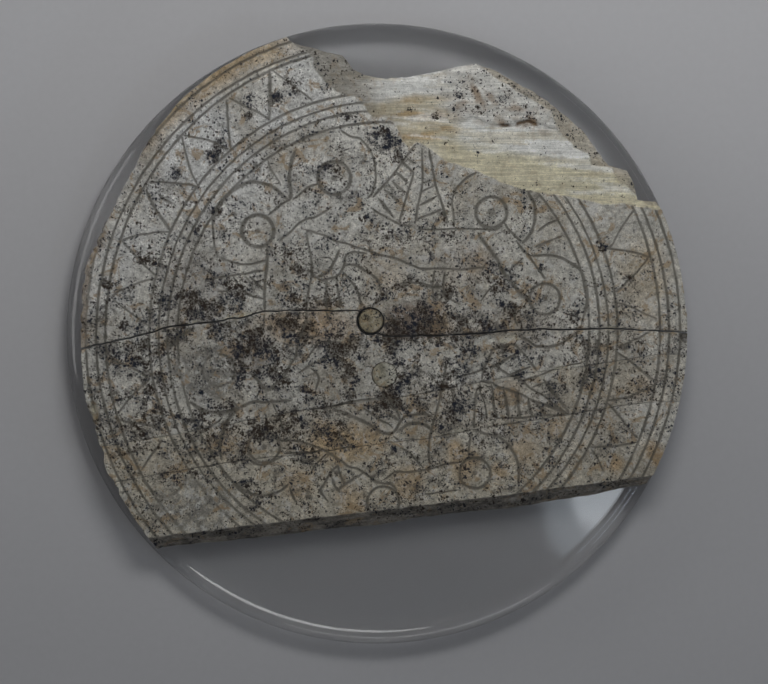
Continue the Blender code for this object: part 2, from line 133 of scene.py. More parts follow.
# The design inside the circles: groove width and the points it is cut through.
DESIGN = [
    (0.46, [(-26.7, 17.7), (-26.3, 19.5), (-25.7, 20.8), (-24.5, 22.3), (-23.1, 23.4), (-21.6, 24.3), (-20.3, 24.7), (-19.0, 24.5), (-17.4, 24.1), (-15.9, 23.1), (-14.6, 21.9), (-14.1, 21.6)]),
    (0.54, [(-13.3, 29.6), (-13.9, 27.5), (-14.2, 25.4), (-14.0, 23.4), (-14.0, 21.8)]),
    (0.31, [(-14.1, 21.8), (-15.7, 20.8), (-17.6, 19.3)]),
    (0.31, [(-13.5, 21.8), (-11.2, 23.7), (-9.3, 24.5)]),
    (0.23, [(-17.7, 28.3), (-17.2, 26.7), (-15.9, 24.7), (-15.6, 23.9)]),
    (0.31, [(-15.7, 15.1), (-13.9, 16.6), (-12.6, 17.9), (-11.2, 18.7), (-9.8, 19.0), (-7.4, 20.5)]),
    (0.31, [(-5.8, 33.0), (-4.4, 32.1), (-2.8, 31.7), (-1.6, 30.6), (-0.7, 29.0), (-0.2, 26.9), (-0.2, 24.7), (-0.7, 22.9), (-1.5, 21.9)]),
    (0.31, [(6.5, 30.8), (5.0, 29.0), (3.3, 26.6), (1.7, 24.7), (-0.5, 22.3)]),
    (0.31, [(-0.7, 20.3), (1.3, 19.0), (2.8, 18.2), (3.7, 17.8), (5.1, 17.6)]),
    (0.31, [(6.1, 26.2), (5.2, 23.4), (4.5, 21.0), (3.9, 18.8), (3.7, 17.9)]),
    (0.39, [(4.1, 28.1), (6.1, 26.0)]),
    (0.39, [(3.3, 26.2), (5.0, 24.5)]),
    (0.39, [(2.6, 24.7), (4.6, 22.9)]),
    (0.39, [(1.3, 23.4), (3.7, 21.4)]),
    (0.39, [(0.4, 21.9), (2.8, 18.8)]),
    (0.39, [(5.0, 28.6), (6.1, 27.5)]),
    (0.31, [(7.4, 29.9), (7.5, 26.2), (7.3, 23.4), (6.7, 20.6), (6.3, 18.0)]),
    (0.31, [(8.5, 29.9), (9.1, 26.9), (9.8, 23.4), (10.6, 21.0), (11.1, 18.8)]),
    (0.31, [(10.0, 22.9), (11.3, 19.2), (11.5, 17.9)]),
    (0.31, [(7.4, 24.4), (8.9, 25.0)]),
    (0.31, [(7.0, 22.9), (9.6, 24.2)]),
    (0.31, [(6.9, 20.8), (9.8, 22.3)]),
    (0.31, [(6.7, 18.6), (10.6, 20.1)]),
    (0.31, [(16.3, 26.2), (14.7, 25.3), (13.2, 23.8), (12.3, 21.8), (12.5, 19.5), (12.6, 17.3)]),
    (0.46, [(24.7, 22.9), (25.6, 21.2), (25.8, 19.5), (25.7, 18.0), (25.2, 16.6), (24.5, 15.4), (23.7, 14.7)]),
    (0.28, [(6.7, 16.9), (9.6, 16.9), (12.4, 17.0), (15.2, 17.0), (17.5, 16.9), (19.3, 16.9), (20.4, 17.5)]),
    (0.31, [(20.8, 18.0), (21.5, 16.9), (22.6, 15.8), (23.7, 14.9)]),
    (0.31, [(22.8, 14.9), (23.7, 13.7), (24.8, 12.5), (25.6, 11.4), (26.7, 9.9), (27.4, 8.8)]),
    (0.46, [(16.5, 16.3), (17.6, 14.7), (18.6, 13.4), (19.7, 11.9), (20.6, 10.1), (21.7, 8.6), (22.8, 7.3), (23.6, 6.2), (24.7, 5.6)]),
    (0.31, [(25.9, 14.1), (27.8, 14.9), (30.2, 15.8)]),
    (0.34, [(26.3, 16.7), (27.8, 17.8), (29.5, 18.4)]),
    (0.39, [(25.2, 12.6), (27.1, 12.7), (28.9, 12.6), (30.4, 12.1), (31.9, 11.2), (33.2, 10.2), (34.1, 7.6), (34.3, 5.4), (33.7, 2.7), (33.2, 1.2)]),
    (0.39, [(32.8, 0.3), (31.3, -0.8), (30.0, -1.7), (28.5, -2.1), (27.1, -2.2), (25.9, -2.0), (24.7, -1.2), (23.7, -0.7)]),
    (0.23, [(17.1, 5.4), (18.0, 6.7), (19.3, 8.0), (20.0, 8.8)]),
    (0.23, [(21.9, 10.6), (23.0, 11.4), (23.9, 12.3)]),
    (0.31, [(22.6, 4.0), (22.5, 2.5), (23.0, 1.2)]),
    (0.31, [(-11.6, 16.9), (-10.2, 16.5), (-8.3, 15.9), (-6.6, 15.0), (-4.8, 14.6), (-3.3, 14.0), (-1.1, 13.4), (0.8, 12.7), (2.8, 12.3), (4.5, 11.6), (5.9, 11.0), (7.0, 10.6), (8.7, 10.5), (11.5, 10.5), (13.3, 10.4), (15.2, 10.5), (17.5, 10.8)]),
    (0.31, [(-11.4, 16.7), (-11.2, 14.9), (-10.7, 12.8), (-10.5, 11.0), (-10.6, 9.1), (-11.0, 7.3), (-11.3, 5.4), (-11.3, 4.0)]),
    (0.39, [(-11.4, 3.6), (-11.4, 2.1), (-11.9, 0.8), (-12.6, -1.1), (-13.2, -3.8), (-14.1, -5.3), (-14.8, -6.6), (-16.1, -7.9), (-17.8, -9.2), (-19.3, -7.6), (-20.4, -6.5)]),
    (0.39, [(-10.5, 9.7), (-9.8, 9.1), (-8.9, 9.5), (-7.7, 10.2), (-7.0, 11.4), (-6.5, 12.5), (-6.1, 13.6)]),
    (0.31, [(-9.8, 9.1), (-8.9, 8.6), (-7.7, 8.9), (-6.5, 9.3), (-5.7, 10.2), (-5.2, 11.2), (-5.0, 12.5), (-4.2, 13.1), (-3.0, 13.2), (-1.7, 13.0)]),
    (0.31, [(-5.2, 11.0), (-4.2, 11.2), (-3.0, 10.9), (-1.8, 10.2), (-0.7, 9.5), (0.2, 8.6), (0.6, 7.3), (0.7, 6.5)]),
    (0.31, [(-5.5, 10.1), (-4.6, 9.0), (-3.5, 7.6), (-2.8, 6.2), (-2.5, 4.5)]),
    (0.31, [(-6.6, 9.1), (-6.4, 7.6), (-6.1, 5.8), (-5.6, 4.3)]),
    (0.39, [(-8.1, 8.8), (-8.1, 6.9), (-8.2, 4.1)]),
    (0.31, [(-8.2, 3.6), (-7.9, 2.5), (-7.4, 1.7)]),
    (0.23, [(-8.9, 12.3), (-7.6, 12.3), (-7.0, 11.5)]),
    (0.31, [(3.9, 8.1), (5.2, 8.3), (6.7, 8.2), (8.7, 7.9)]),
    (0.31, [(6.9, 7.8), (8.7, 7.6), (10.7, 7.5)]),
    (0.31, [(9.4, 10.2), (9.2, 8.8), (9.1, 7.3), (9.4, 5.4)]),
    (0.31, [(11.1, 9.9), (10.9, 8.2), (11.0, 6.5), (12.0, 5.6), (13.3, 4.9)]),
    (0.23, [(12.8, 2.7), (15.2, 2.3)]),
    (0.23, [(-12.6, -2.7), (-11.4, -1.4), (-10.7, -0.7), (-8.9, -0.4)]),
    (0.23, [(-11.4, -4.2), (-10.2, -2.5), (-9.2, -1.4), (-7.0, -1.3)]),
    (0.31, [(-12.6, -6.4), (-10.7, -5.1), (-8.9, -4.3), (-7.2, -3.7), (-5.5, -4.5)]),
    (0.31, [(-10.7, -5.7), (-9.8, -6.4), (-9.4, -7.5), (-9.9, -9.2)]),
    (0.23, [(5.9, -0.5), (5.6, -1.8)]),
    (0.23, [(3.0, -0.7), (3.3, -1.8)]),
    (0.31, [(-26.7, 17.7), (-26.3, 14.1), (-25.9, 12.8), (-25.0, 12.1), (-23.7, 11.7), (-22.3, 11.3), (-21.0, 11.2), (-19.5, 11.5), (-17.9, 11.9)]),
    (0.39, [(-17.8, 14.1), (-17.7, 12.8), (-17.9, 10.6), (-18.1, 8.4), (-18.2, 6.2), (-18.2, 3.9)]),
    (0.23, [(-18.3, 3.2), (-18.4, 1.2)]),
    (0.31, [(-27.8, 8.4), (-25.6, 9.1), (-23.0, 9.5), (-21.1, 9.7), (-19.5, 10.1), (-18.3, 10.1)]),
    (0.31, [(-23.3, 9.1), (-22.2, 7.6), (-21.3, 6.5), (-19.3, 5.8), (-18.2, 5.6)]),
    (0.31, [(-21.3, 9.3), (-20.4, 8.0), (-19.8, 6.7)]),
    (0.31, [(-20.6, 9.3), (-19.5, 8.2), (-18.3, 6.9)]),
    (0.23, [(-25.9, 6.9), (-23.0, 6.8)]),
    (0.31, [(-25.2, 1.4), (-23.7, 1.7), (-22.8, 2.3)]),
    (0.31, [(-22.8, 0.6), (-21.7, 1.4), (-20.6, 2.1)]),
    (0.31, [(-24.3, 1.5), (-22.6, 0.1)]),
    (0.46, [(-33.7, -2.4), (-32.2, -0.7), (-30.9, 0.1), (-29.6, 0.8)]),
    (0.46, [(-30.2, -11.3), (-28.7, -12.2), (-27.4, -12.7), (-25.2, -12.9), (-23.7, -12.6), (-22.4, -12.0)]),
    (0.31, [(-23.3, -11.1), (-22.4, -12.2)]),
    (0.46, [(-22.4, -12.2), (-23.3, -13.1), (-24.4, -14.6), (-25.0, -16.1), (-25.4, -17.5), (-25.5, -19.0), (-25.2, -20.5)]),
    (0.39, [(-22.4, -12.2), (-21.3, -11.6), (-19.8, -11.1), (-18.5, -11.2), (-16.7, -11.1), (-13.9, -10.9)]),
    (0.39, [(-23.3, -24.2), (-21.7, -25.5), (-19.8, -26.2), (-17.4, -26.3), (-15.8, -25.7), (-14.3, -24.6)]),
    (0.31, [(-28.5, -16.1), (-27.2, -15.2), (-25.9, -14.4), (-25.2, -13.8)]),
    (0.23, [(-16.9, -11.4), (-15.8, -13.8), (-15.0, -16.1)]),
    (0.31, [(-20.8, -20.6), (-19.3, -21.3), (-17.8, -21.3), (-16.7, -20.7), (-15.2, -19.9)]),
    (0.31, [(-15.6, -17.4), (-13.0, -17.5), (-11.1, -18.0), (-8.9, -18.8), (-7.9, -19.4), (-6.1, -20.5), (-4.6, -21.6), (-3.0, -22.1), (-1.5, -23.0), (0.0, -24.1), (1.1, -24.4), (2.6, -24.3)]),
    (0.31, [(-15.0, -19.6), (-13.9, -19.5), (-11.1, -19.4), (-10.3, -19.4), (-8.9, -18.9)]),
    (0.31, [(-12.4, -20.9), (-11.1, -20.7), (-9.3, -20.1)]),
    (0.31, [(-14.1, -25.1), (-13.6, -26.4), (-13.2, -27.4)]),
    (0.23, [(-8.1, -19.6), (-9.8, -21.3), (-10.7, -22.7)]),
    (0.31, [(-10.7, -12.4), (-7.4, -11.9), (-5.2, -11.3), (-2.8, -10.9), (-0.7, -10.7), (1.9, -10.3)]),
    (0.46, [(-7.2, -12.2), (-5.7, -12.8), (-4.2, -13.5), (-2.8, -14.0), (-1.1, -14.9), (0.4, -15.8), (1.5, -16.3), (2.6, -16.3)]),
    (0.31, [(-2.0, -12.2), (-0.7, -13.1), (0.8, -14.2), (2.0, -14.8), (2.6, -15.3)]),
    (0.39, [(0.9, -10.9), (2.0, -11.6), (2.8, -12.4)]),
    (0.39, [(2.2, -13.1), (3.7, -14.3)]),
    (0.31, [(1.9, -10.3), (2.6, -11.6), (3.3, -12.6), (3.9, -14.0)]),
    (0.39, [(2.6, -16.2), (3.1, -15.7), (3.7, -14.6), (4.6, -13.5), (5.9, -13.3), (7.6, -13.1), (9.2, -13.6)]),
    (0.39, [(3.3, -16.1), (4.5, -15.2), (5.7, -14.7), (7.2, -14.7), (8.3, -15.2), (8.9, -15.7)]),
    (0.31, [(2.8, -16.8), (3.7, -17.5)]),
    (0.31, [(11.3, -5.0), (11.1, -7.0), (10.6, -9.1), (10.3, -10.7), (9.6, -13.1), (9.1, -15.3), (8.6, -17.2), (8.5, -19.0), (8.6, -21.1)]),
    (0.23, [(4.1, -18.7), (5.4, -19.4), (6.3, -20.5), (7.6, -21.8)]),
    (0.31, [(1.1, -23.8), (2.0, -23.3), (3.1, -22.5), (5.0, -22.6), (7.2, -22.3), (9.2, -21.9), (11.5, -21.2), (13.7, -21.0)]),
    (0.31, [(-6.3, -21.4), (-7.6, -22.9), (-8.5, -24.4), (-9.1, -25.5), (-8.5, -26.6), (-7.9, -27.4)]),
    (0.31, [(-6.3, -21.4), (-5.9, -23.1), (-5.3, -24.2), (-4.6, -24.2), (-3.5, -23.5)]),
    (0.31, [(-4.2, -22.2), (-3.7, -23.3), (-3.0, -23.3), (-2.2, -22.7)]),
    (0.39, [(-7.2, -23.6), (-6.8, -24.9), (-5.9, -25.9)]),
    (0.39, [(-3.5, -23.5), (-5.2, -24.6), (-6.3, -25.5)]),
    (0.31, [(-0.4, -24.2), (1.1, -24.4), (2.4, -24.6), (3.3, -25.5)]),
    (0.23, [(7.8, -26.2), (10.6, -25.8), (13.3, -25.5)]),
    (0.31, [(18.4, -2.8), (19.8, -2.4), (21.7, -1.8), (22.6, -2.0), (23.7, -3.0), (24.8, -4.4), (26.1, -6.0)]),
    (0.46, [(27.3, -7.6), (28.4, -9.2), (29.7, -10.7), (30.6, -11.8), (31.3, -12.9)]),
    (0.31, [(18.9, -2.7), (18.2, -4.2), (17.5, -5.7), (17.1, -7.6)]),
    (0.31, [(19.3, -5.3), (20.4, -6.0), (21.5, -6.7), (23.0, -7.3), (23.7, -7.7), (24.8, -8.7), (25.9, -9.4), (27.4, -10.3), (28.7, -11.4), (30.4, -12.6), (31.1, -13.1)]),
    (0.31, [(19.3, -5.5), (20.8, -4.4), (22.3, -3.5), (23.4, -3.1)]),
    (0.31, [(21.5, -6.7), (23.0, -6.2), (25.2, -5.3)]),
    (0.31, [(23.9, -7.7), (25.2, -7.3), (26.5, -6.8)]),
    (0.31, [(25.4, -8.8), (26.3, -8.4), (27.3, -8.0)]),
    (0.31, [(18.2, -5.4), (19.7, -5.4)]),
    (0.39, [(19.0, -8.1), (19.8, -8.7), (21.5, -9.2), (23.0, -9.7), (24.1, -10.2), (25.4, -11.0), (26.7, -11.4), (28.2, -11.9), (29.7, -12.6), (30.9, -13.1)]),
    (0.31, [(19.7, -13.8), (21.5, -13.8), (23.7, -13.7), (25.9, -13.5), (27.6, -13.3), (28.9, -13.3), (30.8, -13.3)]),
    (0.31, [(18.7, -8.3), (18.9, -9.8), (19.0, -11.6), (19.5, -13.1), (19.7, -13.8)]),
    (0.39, [(20.6, -9.2), (21.0, -10.5), (21.3, -12.2), (21.5, -13.7)]),
    (0.39, [(23.0, -9.8), (23.1, -11.6), (23.4, -13.6)]),
    (0.39, [(24.7, -10.7), (24.9, -12.0), (25.4, -13.5)]),
    (0.39, [(25.9, -11.3), (26.7, -12.2), (27.4, -13.2)]),
    (0.23, [(16.8, -8.2), (16.9, -9.6), (17.5, -11.1), (17.8, -12.7), (18.0, -14.0)]),
    (0.31, [(16.9, -7.7), (18.0, -8.0), (19.1, -8.0)]),
    (0.31, [(16.3, -9.2), (16.0, -11.3), (15.9, -13.5), (15.9, -15.3)]),
    (0.31, [(15.6, -16.1), (15.2, -17.5), (15.0, -19.0), (15.0, -20.3)]),
    (0.39, [(16.0, -15.7), (17.5, -16.3), (18.9, -16.5), (20.0, -16.9), (21.0, -17.7), (21.9, -18.8), (22.6, -19.9), (23.1, -21.4), (23.2, -22.9), (23.0, -24.4)]),
    (0.25, [(26.6, -6.8), (29.9, -5.5), (33.7, -4.7)]),
    (0.25, [(12.8, -7.4), (15.2, -6.6), (17.7, -5.8)]),
]
# Small compass-cut circles: centre, radius, groove width, radius of the dot in the middle.
ROUNDELS = [
    ((-19.3, 16.7), 2.59, 0.46, 0.49),
    ((-6.9, 25.3), 2.67, 0.39, 0.65),
    ((18.7, 19.7), 2.50, 0.39, 0.82),
    ((27.4, 5.6), 2.50, 0.31, 0.49),
    ((-18.3, -18.5), 2.53, 0.31, 0.57),
    ((16.0, -22.7), 2.50, 0.31, 0.49),
    ((1.1, -27.5), 2.61, 0.31, 0.00),
    ((-25.7, -6.0), 2.61, 0.25, 0.41),
]

# Dark stains on the face: centre, radius and strength.
STAINS = [
    (-20.3, 38.4, 0.9, 1.0), (-21.1, 35.3, 0.7, 1.0), (-17.0, 38.4, 1.5, 0.8), (-26.8, 28.8, 1.2, 1.0),
    (-25.5, 30.4, 1.3, 0.8), (-29.4, 17.2, 0.9, 1.0), (-27.2, 10.0, 1.6, 1.0), (-30.4, 4.6, 1.6, 0.8),
    (-34.3, 5.5, 0.9, 1.0), (-4.8, 35.3, 1.0, 0.9), (1.4, 31.6, 2.4, 0.8), (3.2, 28.8, 1.2, 0.9), (-8.4, 27.2, 0.7, 0.9),
    (-14.6, 40.5, 1.0, 0.8), (-12.5, 39.7, 2.3, 0.5), (-41.5, 2.0, 1.8, 0.7), (-38.9, -4.6, 1.4, 0.6),
    (-36.9, -8.4, 1.0, 0.8), (-37.9, -16.2, 0.8, 0.9), (-19.0, -15.7, 2.1, 0.9), (-21.1, -24.1, 1.2, 0.8),
    (-10.8, -9.2, 0.9, 0.9), (-13.3, -11.8, 2.4, 0.8), (-20.0, -2.7, 2.0, 0.9), (-4.3, -5.6, 1.0, 1.0),
    (8.7, 12.8, 1.4, 1.0), (0.9, 5.6, 1.2, 0.8), (6.8, 3.0, 2.0, 1.0), (21.4, 4.2, 2.0, 0.8), (14.8, -5.6, 1.0, 1.0),
    (15.7, -3.0, 0.9, 1.0), (32.2, 2.7, 1.2, 0.9), (26.8, 10.5, 0.9, 0.9), (33.7, 10.4, 0.6, 0.8),
    (26.7, -4.0, 1.1, 0.5), (-15.2, 1.4, 1.3, 0.7), (2.7, -19.0, 1.1, 0.7), (-6.0, -14.6, 0.8, 0.9),
    (3.8, -11.7, 1.5, 0.6), (13.8, -12.5, 1.1, 0.7), (37.4, -14.9, 0.9, 0.8), (-33.0, 26.0, 1.4, 0.6),
    (-38.0, 12.0, 1.8, 0.6), (-30.0, -22.0, 1.6, 0.7), (-26.0, 20.0, 1.2, 0.5), (11.0, 6.5, 1.8, 0.6),
    (18.5, 12.0, 1.2, 0.5), (36.5, 14.0, 0.9, 0.6), (41.5, 9.0, 0.8, 0.6), (-44.0, 8.0, 1.0, 0.7),
    (-22.5, 25.5, 1.4, 0.5), (-5.5, 22.5, 1.2, 0.6), (-1.5, 18.0, 1.6, 0.5),
]
# Tan and ochre patches: centre, radius and strength.
OCHRE = [
    (-26.0, 43.5, 2.6, 0.7), (-22.0, 45.8, 2.2, 0.6), (-43.8, -19.8, 1.6, 0.6), (9.9, 1.4, 2.4, 1.0),
    (-15.2, 1.4, 2.2, 0.6), (-9.2, 0.9, 2.8, 0.6), (-4.3, -1.4, 1.6, 0.5), (14.1, -21.1, 3.2, 0.7),
    (12.8, -18.7, 1.6, 0.6), (-8.4, -16.2, 2.6, 0.7), (-4.3, -27.2, 2.6, 0.6), (16.6, 12.0, 2.3, 0.6),
    (45.4, -19.8, 2.0, 1.0), (38.9, -21.4, 1.6, 0.7), (20.1, -22.3, 1.6, 0.7), (29.1, -15.7, 1.8, 0.6),
    (-36.0, 36.0, 2.0, 0.4), (5.0, -24.0, 3.0, 0.6), (-13.0, -24.5, 3.0, 0.5), (24.0, -19.0, 3.0, 0.5),
    (-25.0, -18.0, 2.5, 0.4), (2.0, 9.0, 3.0, 0.35), (22.0, -9.5, 2.0, 0.35), (43.0, -9.0, 2.0, 0.4),
]
# Worn patches where the polish has gone and the grey body shows: centre, half sizes, strength.
WORN = [((-28.0, -6.3), (5.8, 4.6), 1.0), ((-29.5, -28.0), (7.0, 4.6), 0.9), ((-27.5, 11.5), (3.6, 3.0), 0.6),
        ((-24.5, 1.8), (6.0, 2.0), 0.5)]
# Shallow shell-shaped chips: centre, half sizes, turn in degrees, depth, how pale.
CHIPS = [((17.6, -1.2), (2.3, 1.1), 8, 0.35, 1.0), ((21.6, -0.9), (2.2, 0.8), 12, 0.22, 0.6),
         ((-22.4, 3.0), (3.4, 0.55), 12, 0.16, 0.7), ((50.0, -0.6), (0.9, 1.1), 0, 0.8, 0.0),
         ((5.6, 6.9), (0.8, 0.45), 0, 0.12, 1.0), ((2.6, -17.6), (1.2, 0.4), 10, 0.14, 1.0),
         ((-45.9, -12.6), (0.7, 1.9), 8, 0.5, 0.3), ((13.0, -15.9), (1.5, 0.4), 14, 0.14, 0.5),
         ((-35.0, -17.0), (1.3, 0.4), 10, 0.14, 0.5), ((30.0, -5.6), (1.4, 0.4), 6, 0.12, 0.6),
         ((38.0, 0.9), (1.2, 0.4), 0, 0.16, 0.4), ((-7.0, 3.9), (1.4, 0.35), 0, 0.14, 0.4),
         ((-30.0, 1.8), (1.2, 0.4), 18, 0.16, 0.4)]


# ---------------------------------------------------------------- noise, lines and distances

def lattice(ix, iy, seed):
    h = (ix * 374761393 + iy * 668265263 + seed * 69069) & 0xFFFFFFFF
    h = ((h ^ (h >> 13)) * 1274126177) & 0xFFFFFFFF
    return ((h ^ (h >> 16)) & 0xFFFF) / 65535.0


def noise(x, y, seed=0):
    """Smooth noise from 0 to 1, one cell to a unit."""
    x, y = np.asarray(x, float), np.asarray(y, float)
    ix, iy = np.floor(x).astype(np.int64), np.floor(y).astype(np.int64)
    u, v = x - ix, y - iy
    u, v = u * u * (3 - 2 * u), v * v * (3 - 2 * v)
    a, b = lattice(ix, iy, seed), lattice(ix + 1, iy, seed)
    c, d = lattice(ix, iy + 1, seed), lattice(ix + 1, iy + 1, seed)
    return (a * (1 - u) + b * u) * (1 - v) + (c * (1 - u) + d * u) * v


def layered(x, y, seed=0, layers=4, rough=0.5):
    total, weight, out = 0.0, 1.0, 0.0
    for i in range(layers):
        out = out + weight * noise(x * 2**i + 17.3 * i, y * 2**i - 9.1 * i, seed + 101 * i)
        total += weight
        weight *= rough
    return out / total


def ramp(v, low, high):
    t = np.clip((v - low) / (high - low), 0, 1)
    return t * t * (3 - 2 * t)


def through(points, step=0.1, closed=False):
    """An even run of points on a smooth curve through the given ones."""
    p = np.array(points, float)
    if len(p) == 2 and not closed:
        ext = np.array([2 * p[0] - p[1], *p, 2 * p[1] - p[0]])
    elif closed:
        ext = np.array([p[-1], *p, p[0], p[1]])
    else:
        ext = np.array([2 * p[0] - p[1], *p, 2 * p[-1] - p[-2]])
    out = []
    for i in range(1, len(ext) - 2):
        a, b, c, d = ext[i - 1:i + 3]
        t = np.linspace(0, 1, 24, endpoint=False)[:, None]
        out.append(0.5 * (2 * b + (c - a) * t + (2 * a - 5 * b + 4 * c - d) * t**2 + (3 * b - a - 3 * c + d) * t**3))
    out = np.concatenate([*out, ext[-2][None]])
    return even(out, step)


def even(points, step):
    """The same line with its points spaced evenly."""
    p = np.array(points, float)
    s = np.concatenate([[0], np.cumsum(np.hypot(*np.diff(p, axis=0).T))])
    n = max(1, int(round(s[-1] / step)))
    at = np.linspace(0, s[-1], n + 1)
    return np.stack([np.interp(at, s, p[:, 0]), np.interp(at, s, p[:, 1])], 1)


def normals_of(line, closed=False):
    """Unit normals to the left of a line."""
    p = np.asarray(line, float)
    if closed:
        t = np.roll(p, -1, 0) - np.roll(p, 1, 0)
    else:
        t = np.gradient(p, axis=0)
    t /= np.maximum(np.hypot(t[:, 0], t[:, 1]), 1e-9)[:, None]
    return np.stack([-t[:, 1], t[:, 0]], 1)


def distance_to(line, x, y):
    """Distance from each point to a polyline."""
    p = np.asarray(line, float)
    best = np.full(len(x), 1e9)
    for (ax, ay), (bx, by) in zip(p, p[1:]):
        dx, dy = bx - ax, by - ay
        t = np.clip(((x - ax) * dx + (y - ay) * dy) / max(dx * dx + dy * dy, 1e-12), 0, 1)
        best = np.minimum(best, (x - ax - t * dx)**2 + (y - ay - t * dy)**2)
    return np.sqrt(best)


def inside(outline, x, y):
    """True for each point inside a closed outline."""
    p = np.asarray(outline, float)
    q = np.roll(p, -1, 0)
    hit = np.zeros(len(x), bool)
    order = np.argsort(y)
    ys = y[order]
    for (ax, ay), (bx, by) in zip(p, q):
        if ay == by:
            continue
        lo, hi = np.searchsorted(ys, [min(ay, by), max(ay, by)])
        if lo < hi:
            pick = order[lo:hi]
            hit[pick] ^= x[pick] < ax + (y[pick] - ay) * (bx - ax) / (by - ay)
    return hit


def rim_radius(degrees):
    """Radius of the plate's outer edge, with small chips out of it."""
    a = (np.asarray(degrees, float) + 34) % 360 - 34
    r = np.interp(a, [v[0] for v in RIM], [v[1] for v in RIM], right=PLATE_R)
    worn = np.interp(a, [-34, 20, 110, 130, 150, 228, 260], [0.10, 0.10, 0.15, 0.3, 0.5, 0.45, 0.2])
    bite = ramp(layered(a * 0.55, a * 0 + 3.3, 7, 3, 0.6), 0.45, 0.85) * worn
    return r - bite - 0.06 * noise(a * 2.3, a * 0 + 8.1, 9)


def polar(p):
    return math.degrees(math.atan2(p[1], p[0]))


# ---------------------------------------------------------------- the cuts in the face

CELL = 0.06
SPAN = 51.6
CELLS = int(2 * SPAN / CELL) + 1
groove_depth = np.zeros((CELLS, CELLS), np.float32)
groove_fill = np.zeros((CELLS, CELLS), np.float32)
cut_points = []  # the face's mesh follows these, so that each groove has its own walls and floor


def stamp(points, half, depth, fill):
    """Presses a round-bottomed cutter of that half width along the points."""
    points = np.asarray(points, float)
    half = np.broadcast_to(np.asarray(half, float), len(points))
    depth = np.broadcast_to(np.asarray(depth, float), len(points))
    fill = np.broadcast_to(np.asarray(fill, float), len(points))
    reach = int(math.ceil((half.max() * 1.3) / CELL)) + 1
    ix, iy = np.round((points[:, 0] + SPAN) / CELL).astype(int), np.round((points[:, 1] + SPAN) / CELL).astype(int)
    for dy in range(-reach, reach + 1):
        for dx in range(-reach, reach + 1):
            jx, jy = ix + dx, iy + dy
            ok = (jx >= 0) & (jy >= 0) & (jx < CELLS) & (jy < CELLS)
            d = np.hypot(jx * CELL - SPAN - points[:, 0], jy * CELL - SPAN - points[:, 1]) / half
            cutv = depth * np.clip(1 - d * d, 0, 1) ** 0.75
            fillv = fill * (1 - ramp(d, 0.62, 1.18))
            ok &= d < 1.3
            np.maximum.at(groove_depth, (jy[ok], jx[ok]), cutv[ok].astype(np.float32))
            np.maximum.at(groove_fill, (jy[ok], jx[ok]), fillv[ok].astype(np.float32))


def groove(points, width, seed, depth=0.15, closed=False, fill=1.0):
    """One engraved stroke: it thins at its ends, wavers a little and is worn away here and there."""
    fine = even(points, 0.05)
    s = np.arange(len(fine)) * 0.05
    wave = (noise(s * 0.9, s * 0 + seed, seed) - 0.5) * 0.10
    fine = fine + normals_of(fine) * wave[:, None]
    long = s[-1] if len(s) else 0
    ends = 1.0 if closed else np.minimum(1, 0.45 + np.minimum(s, long - s) / 0.9)
    wear = 0.62 + 0.5 * layered(s * 0.35, s * 0 + seed * 1.7, seed + 5, 2)
    half = 0.5 * width * (1.0 + 0.42 * (noise(s * 0.6, s * 0 + 4.4, seed + 3) - 0.5)
                          + 0.34 * (noise(s * 2.3, s * 0 + 1.7, seed + 9) - 0.5)) * ends
    stamp(fine, half, depth * np.clip(wear, 0.5, 1.05) * np.minimum(1, half / 0.11), fill * np.clip(wear * 1.15, 0.5, 1.0))
    coarse = fine[::5] if len(fine) > 12 else fine[::3]
    side = normals_of(coarse) if len(coarse) > 1 else np.array([[1.0, 0]])
    h = half[::5] if len(fine) > 12 else half[::3]
    for k in (0, 0.5, -0.5, 0.95, -0.95, 1.3, -1.3):
        cut_points.append(coarse + side * (h * k)[:, None])


def pit(x, y, r, depth, fill):
    stamp([(x, y)], r, depth, fill)
    a = np.linspace(0, math.tau, 7, endpoint=False)
    cut_points.append(np.array([(x, y), *[(x + 0.6 * r * math.cos(t), y + 0.6 * r * math.sin(t)) for t in a],
                                *[(x + 1.12 * r * math.cos(t), y + 1.12 * r * math.sin(t)) for t in a]]))


def cut_design():
    for n, (r0, a1, b1, a2, b2, a3, b3) in enumerate(CIRCLES):
        t = np.linspace(0, math.tau, 1500)
        r = (r0 + a1 * np.cos(t) + b1 * np.sin(t) + a2 * np.cos(2 * t) + b2 * np.sin(2 * t) + a3 * np.cos(3 * t)
             + b3 * np.sin(3 * t))
        ring = np.stack([CIRCLE_CENTRE[0] + r * np.cos(t), CIRCLE_CENTRE[1] + r * np.sin(t)], 1)
        groove(ring, 0.50 if n != 2 else 0.42, 40 + n, 0.16, closed=True)
    for n, (w, pts) in enumerate(ZIGZAG):
        groove(through(pts), w * 1.42, 100 + n, 0.14, fill=0.95)
    for n, (w, pts) in enumerate(DESIGN):
        groove(through(pts), w * 1.48, 200 + n, 0.17)
    for n, (c, r, w, dot) in enumerate(ROUNDELS):
        t = np.linspace(0, math.tau, 160)
        groove(np.stack([c[0] + r * np.cos(t), c[1] + r * np.sin(t)], 1), w * 1.75, 400 + n, 0.18, closed=True)
        if dot:
            for k in range(5):
                a = 1.3 * k + n
                pit(c[0] + dot * 0.4 * math.cos(a), c[1] + dot * 0.4 * math.sin(a), dot * 0.55, 0.14, 0.8)


rng = np.random.default_rng(11)


def scatter_pits(count=1500):
    """Small pits in the face, thickest where it is stained."""
    x, y = rng.uniform(-50, 50, count * 6), rng.uniform(-34, 50, count * 6)
    chance = 0.10 + 0.5 * speck_density(x, y)
    keep = (rng.uniform(0, 1, len(x)) < chance) & (np.hypot(x, y) < 49.8)
    for px, py in zip(x[keep][:count], y[keep][:count]):
        pit(px, py, rng.uniform(0.10, 0.28), rng.uniform(0.04, 0.11), rng.uniform(0.35, 1.0))


